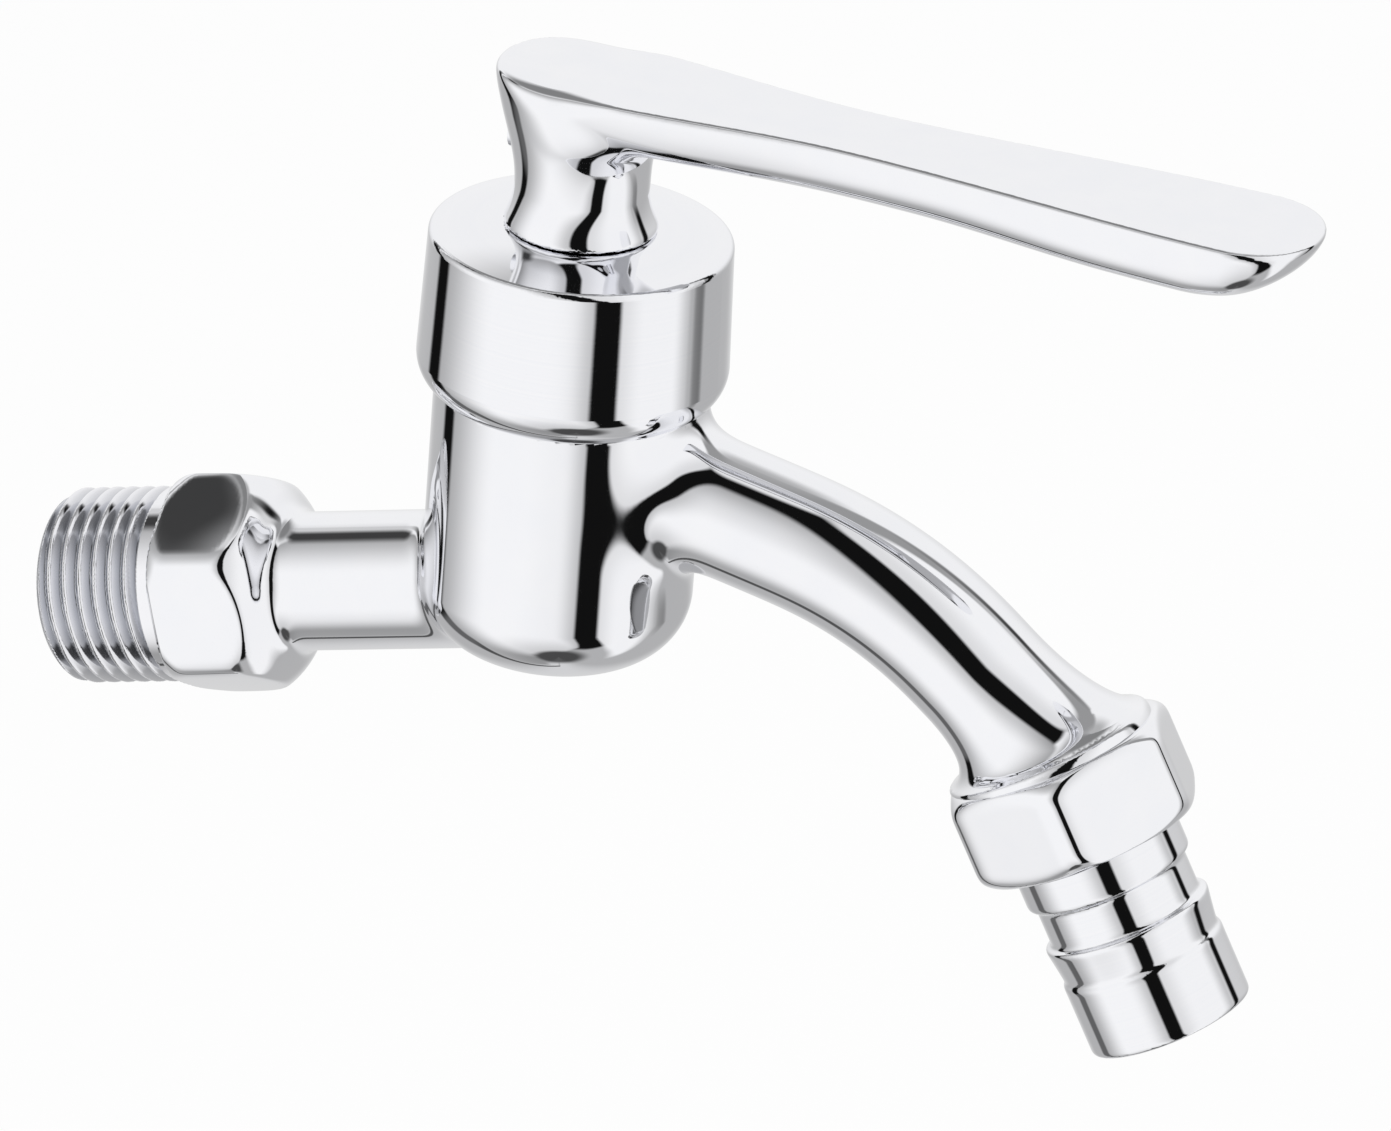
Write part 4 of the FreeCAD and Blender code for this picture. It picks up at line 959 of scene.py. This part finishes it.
def back_and_roof(tree, bearing, height, depth):
    """The back wall: grey low down and white above, under a darker roof."""
    round_back = add(tree, "Math", (bearing,), operation="ABSOLUTE")
    back = falloff(tree, (height, -10.0, 40.0, 0.47, 0.95))
    behind = falloff(tree, (round_back, 150.0, 178.0, 0.0, 0.22),
                     (height, 0.0, 40.0, 1.0, 0.0))
    back = add(tree, "Math", (back, behind), operation="ADD")
    roof = add(tree, "Mix", {
        "Factor": falloff(tree, (bearing, -30.0, 50.0, 0.0, 1.0)),
        "A": falloff(tree, (height, 56.0, 74.0, 1.0, 0.25)),
        "B": falloff(tree, (height, 66.0, 82.0, 1.0, 0.5))}, data_type="FLOAT")
    ground = falloff(tree, (depth, 70.0, 80.0, 1.0, 0.15))
    light = add(tree, "Math", (back, roof), operation="MULTIPLY")
    return add(tree, "Math", (light, ground), operation="MULTIPLY")


def header_and_flag(tree, light, bearing, height):
    """The right wall's grey header, and a narrow black flag beside it."""
    header = add(tree, "Mix", {
        "Factor": falloff(tree, (height, 20.0, 60.0, 0.0, 1.0)),
        "A": light, "B": 0.33}, data_type="FLOAT")
    light = hang(tree, light, (bearing, height), (56, 10), (52, 72), 4.0, header)
    leaning = add(tree, "Math", (height, 0.2), operation="MULTIPLY")
    leaning = add(tree, "Math", (leaning, bearing), operation="ADD")
    return hang(tree, light, (leaning, height), (109, 16), (5.5, 36), 2.5, BLACK)


def far_bearing(tree, bearing, height):
    """The bearing beyond the left wall, where low down it swings aside."""
    aside = add(tree, "Math", (sway(tree, height, -38.0, 0.07),
                               falloff(tree, (bearing, -100.0, -60.0, 1.0, 0.0))),
                operation="MULTIPLY")
    return add(tree, "Math", (bearing, aside), operation="ADD")


def lit_walls(tree, light, bearing, height, depth, far):
    """The lit walls.  The slit between them swings right below the camera."""
    swing = add(tree, "Math", (sway(tree, height, 0.0, 0.0135),
                               falloff(tree, (bearing, -60.0, 0.0, 0.0, 1.0))),
                operation="MULTIPLY")
    swung = add(tree, "Math", (bearing, swing), operation="SUBTRACT")
    narrowed = add(tree, "Math", (swung, sway(tree, depth, 0.0, 0.0045)),
                   operation="ADD")
    right_wall = falloff(tree, (swung, 12.0, 45.0, 0.78, 0.975),
                         (swung, 78.0, 98.0, 1.0, 0.6))
    light = hang(tree, light, (narrowed, height), (54.5, 2), (42.5, 62), 2.5,
                 right_wall)
    left_wall = falloff(tree, (height, 8.0, 70.0, 1.0, 0.35),
                        (depth, 42.0, 80.0, 1.0, 0.65),
                        (bearing, -122.0, -75.0, 0.45, 1.0),
                        (swung, -42.0, -12.0, 1.0, 0.6))
    left = add(tree, "Math", (far, swing), operation="SUBTRACT")
    return hang(tree, light, (left, height), (-65, -8), (52.5, 68), 2.5, left_wall)


def tent_light(tree):
    """The tent's brightness in each direction, 1 being white."""
    bearing, height = studio_angles(tree)
    depth = add(tree, "Math", (height, -1.0), operation="MULTIPLY")
    far = far_bearing(tree, bearing, height)
    light = back_and_roof(tree, bearing, height, depth)
    light = header_and_flag(tree, light, bearing, height)
    # A second black flag stands beyond the left wall's far edge.
    far_flag = falloff(tree, (depth, 14.0, 22.0, BLACK, 0.13),
                       (depth, 38.0, 46.0, 1.0, 0.65))
    light = hang(tree, light, (far, height), (-126, -16), (7, 66), 2.5, far_flag)
    # The camera looks in between the walls through a black screen.
    light = hang(tree, light, (bearing, height), (20, -6), (60, 64), 3.0, BLACK)
    light = lit_walls(tree, light, bearing, height, depth, far)
    # A small dark flag hangs over the inlet.
    return hang(tree, light, (bearing, height), (-95, 60), (18, 6.5), 4.0, 0.05)


def light_tent():
    """A white tent with two lit walls, black flags, and a slit for the camera.

    Chrome has no look of its own.  The walls give it its white, and the slit
    and the flags draw its dark edges, as in the photograph.
    """
    world = bpy.data.worlds.new("light_tent")
    bpy.context.scene.world = world
    world.use_nodes = True
    tree = world.node_tree
    tree.nodes.clear()
    tent = add(tree, "Background", {"Color": tent_light(tree)})
    plain = add(tree, "Background", {"Color": linear("#FFFFFF")})
    seen = add(tree, "MixShader",
               (add(tree, "LightPath", give="Is Camera Ray"), tent, plain))
    add(tree, "OutputWorld", {"Surface": seen})


def hang_softbox():
    """A wide soft lamp overhead, which the chrome itself does not mirror."""
    data = bpy.data.lights.new("overhead_softbox", "AREA")
    data.shape = "SQUARE"
    data.size = 1.2
    data.energy = 7.0
    lamp = bpy.data.objects.new("overhead_softbox", data)
    lamp.location = (0.05, 0.0, 1.4)
    lamp.visible_glossy = False
    lamp.visible_camera = False
    bpy.context.collection.objects.link(lamp)


def lay_floor():
    """A wide pale floor under the tap, which keeps its soft shadow."""
    floor_height = -0.095
    half_width = 12.0
    corners = [(x * half_width, y * half_width, floor_height)
               for x, y in ((-1, -1), (1, -1), (1, 1), (-1, 1))]
    mesh = bpy.data.meshes.new("studio_floor")
    mesh.from_pydata(corners, [], [(0, 1, 2, 3)])
    floor = bpy.data.objects.new("studio_floor", mesh)
    bpy.context.collection.objects.link(floor)
    finish, tree, place = new_finish("matt_white_paper")
    tooth = add(tree, "TexNoise", {"Vector": place, "Scale": per_mm(2)})
    tone = add(tree, "Mix", {"Factor": tooth,
                             "A": linear("#F7F7F7"), "B": linear("#FBFBFB")},
               data_type="RGBA")
    paper = add(tree, "BsdfDiffuse", {"Color": tone})
    glow = add(tree, "Emission", {"Color": linear("#FFFFFF"), "Strength": 1.0})
    rays = add(tree, "LightPath", give="Is Camera Ray")
    whitening = add(tree, "Math", (rays, 0.9), operation="MULTIPLY")
    mixed = add(tree, "MixShader", (whitening, paper, glow))
    add(tree, "OutputMaterial", {"Surface": mixed})
    mesh.materials.append(finish)
    # The chrome mirrors the light tent below it, not this floor.
    floor.visible_glossy = False


dress()
lay_floor()
light_tent()
hang_softbox()
place_camera()
bpy.context.scene.view_settings.view_transform = "Standard"
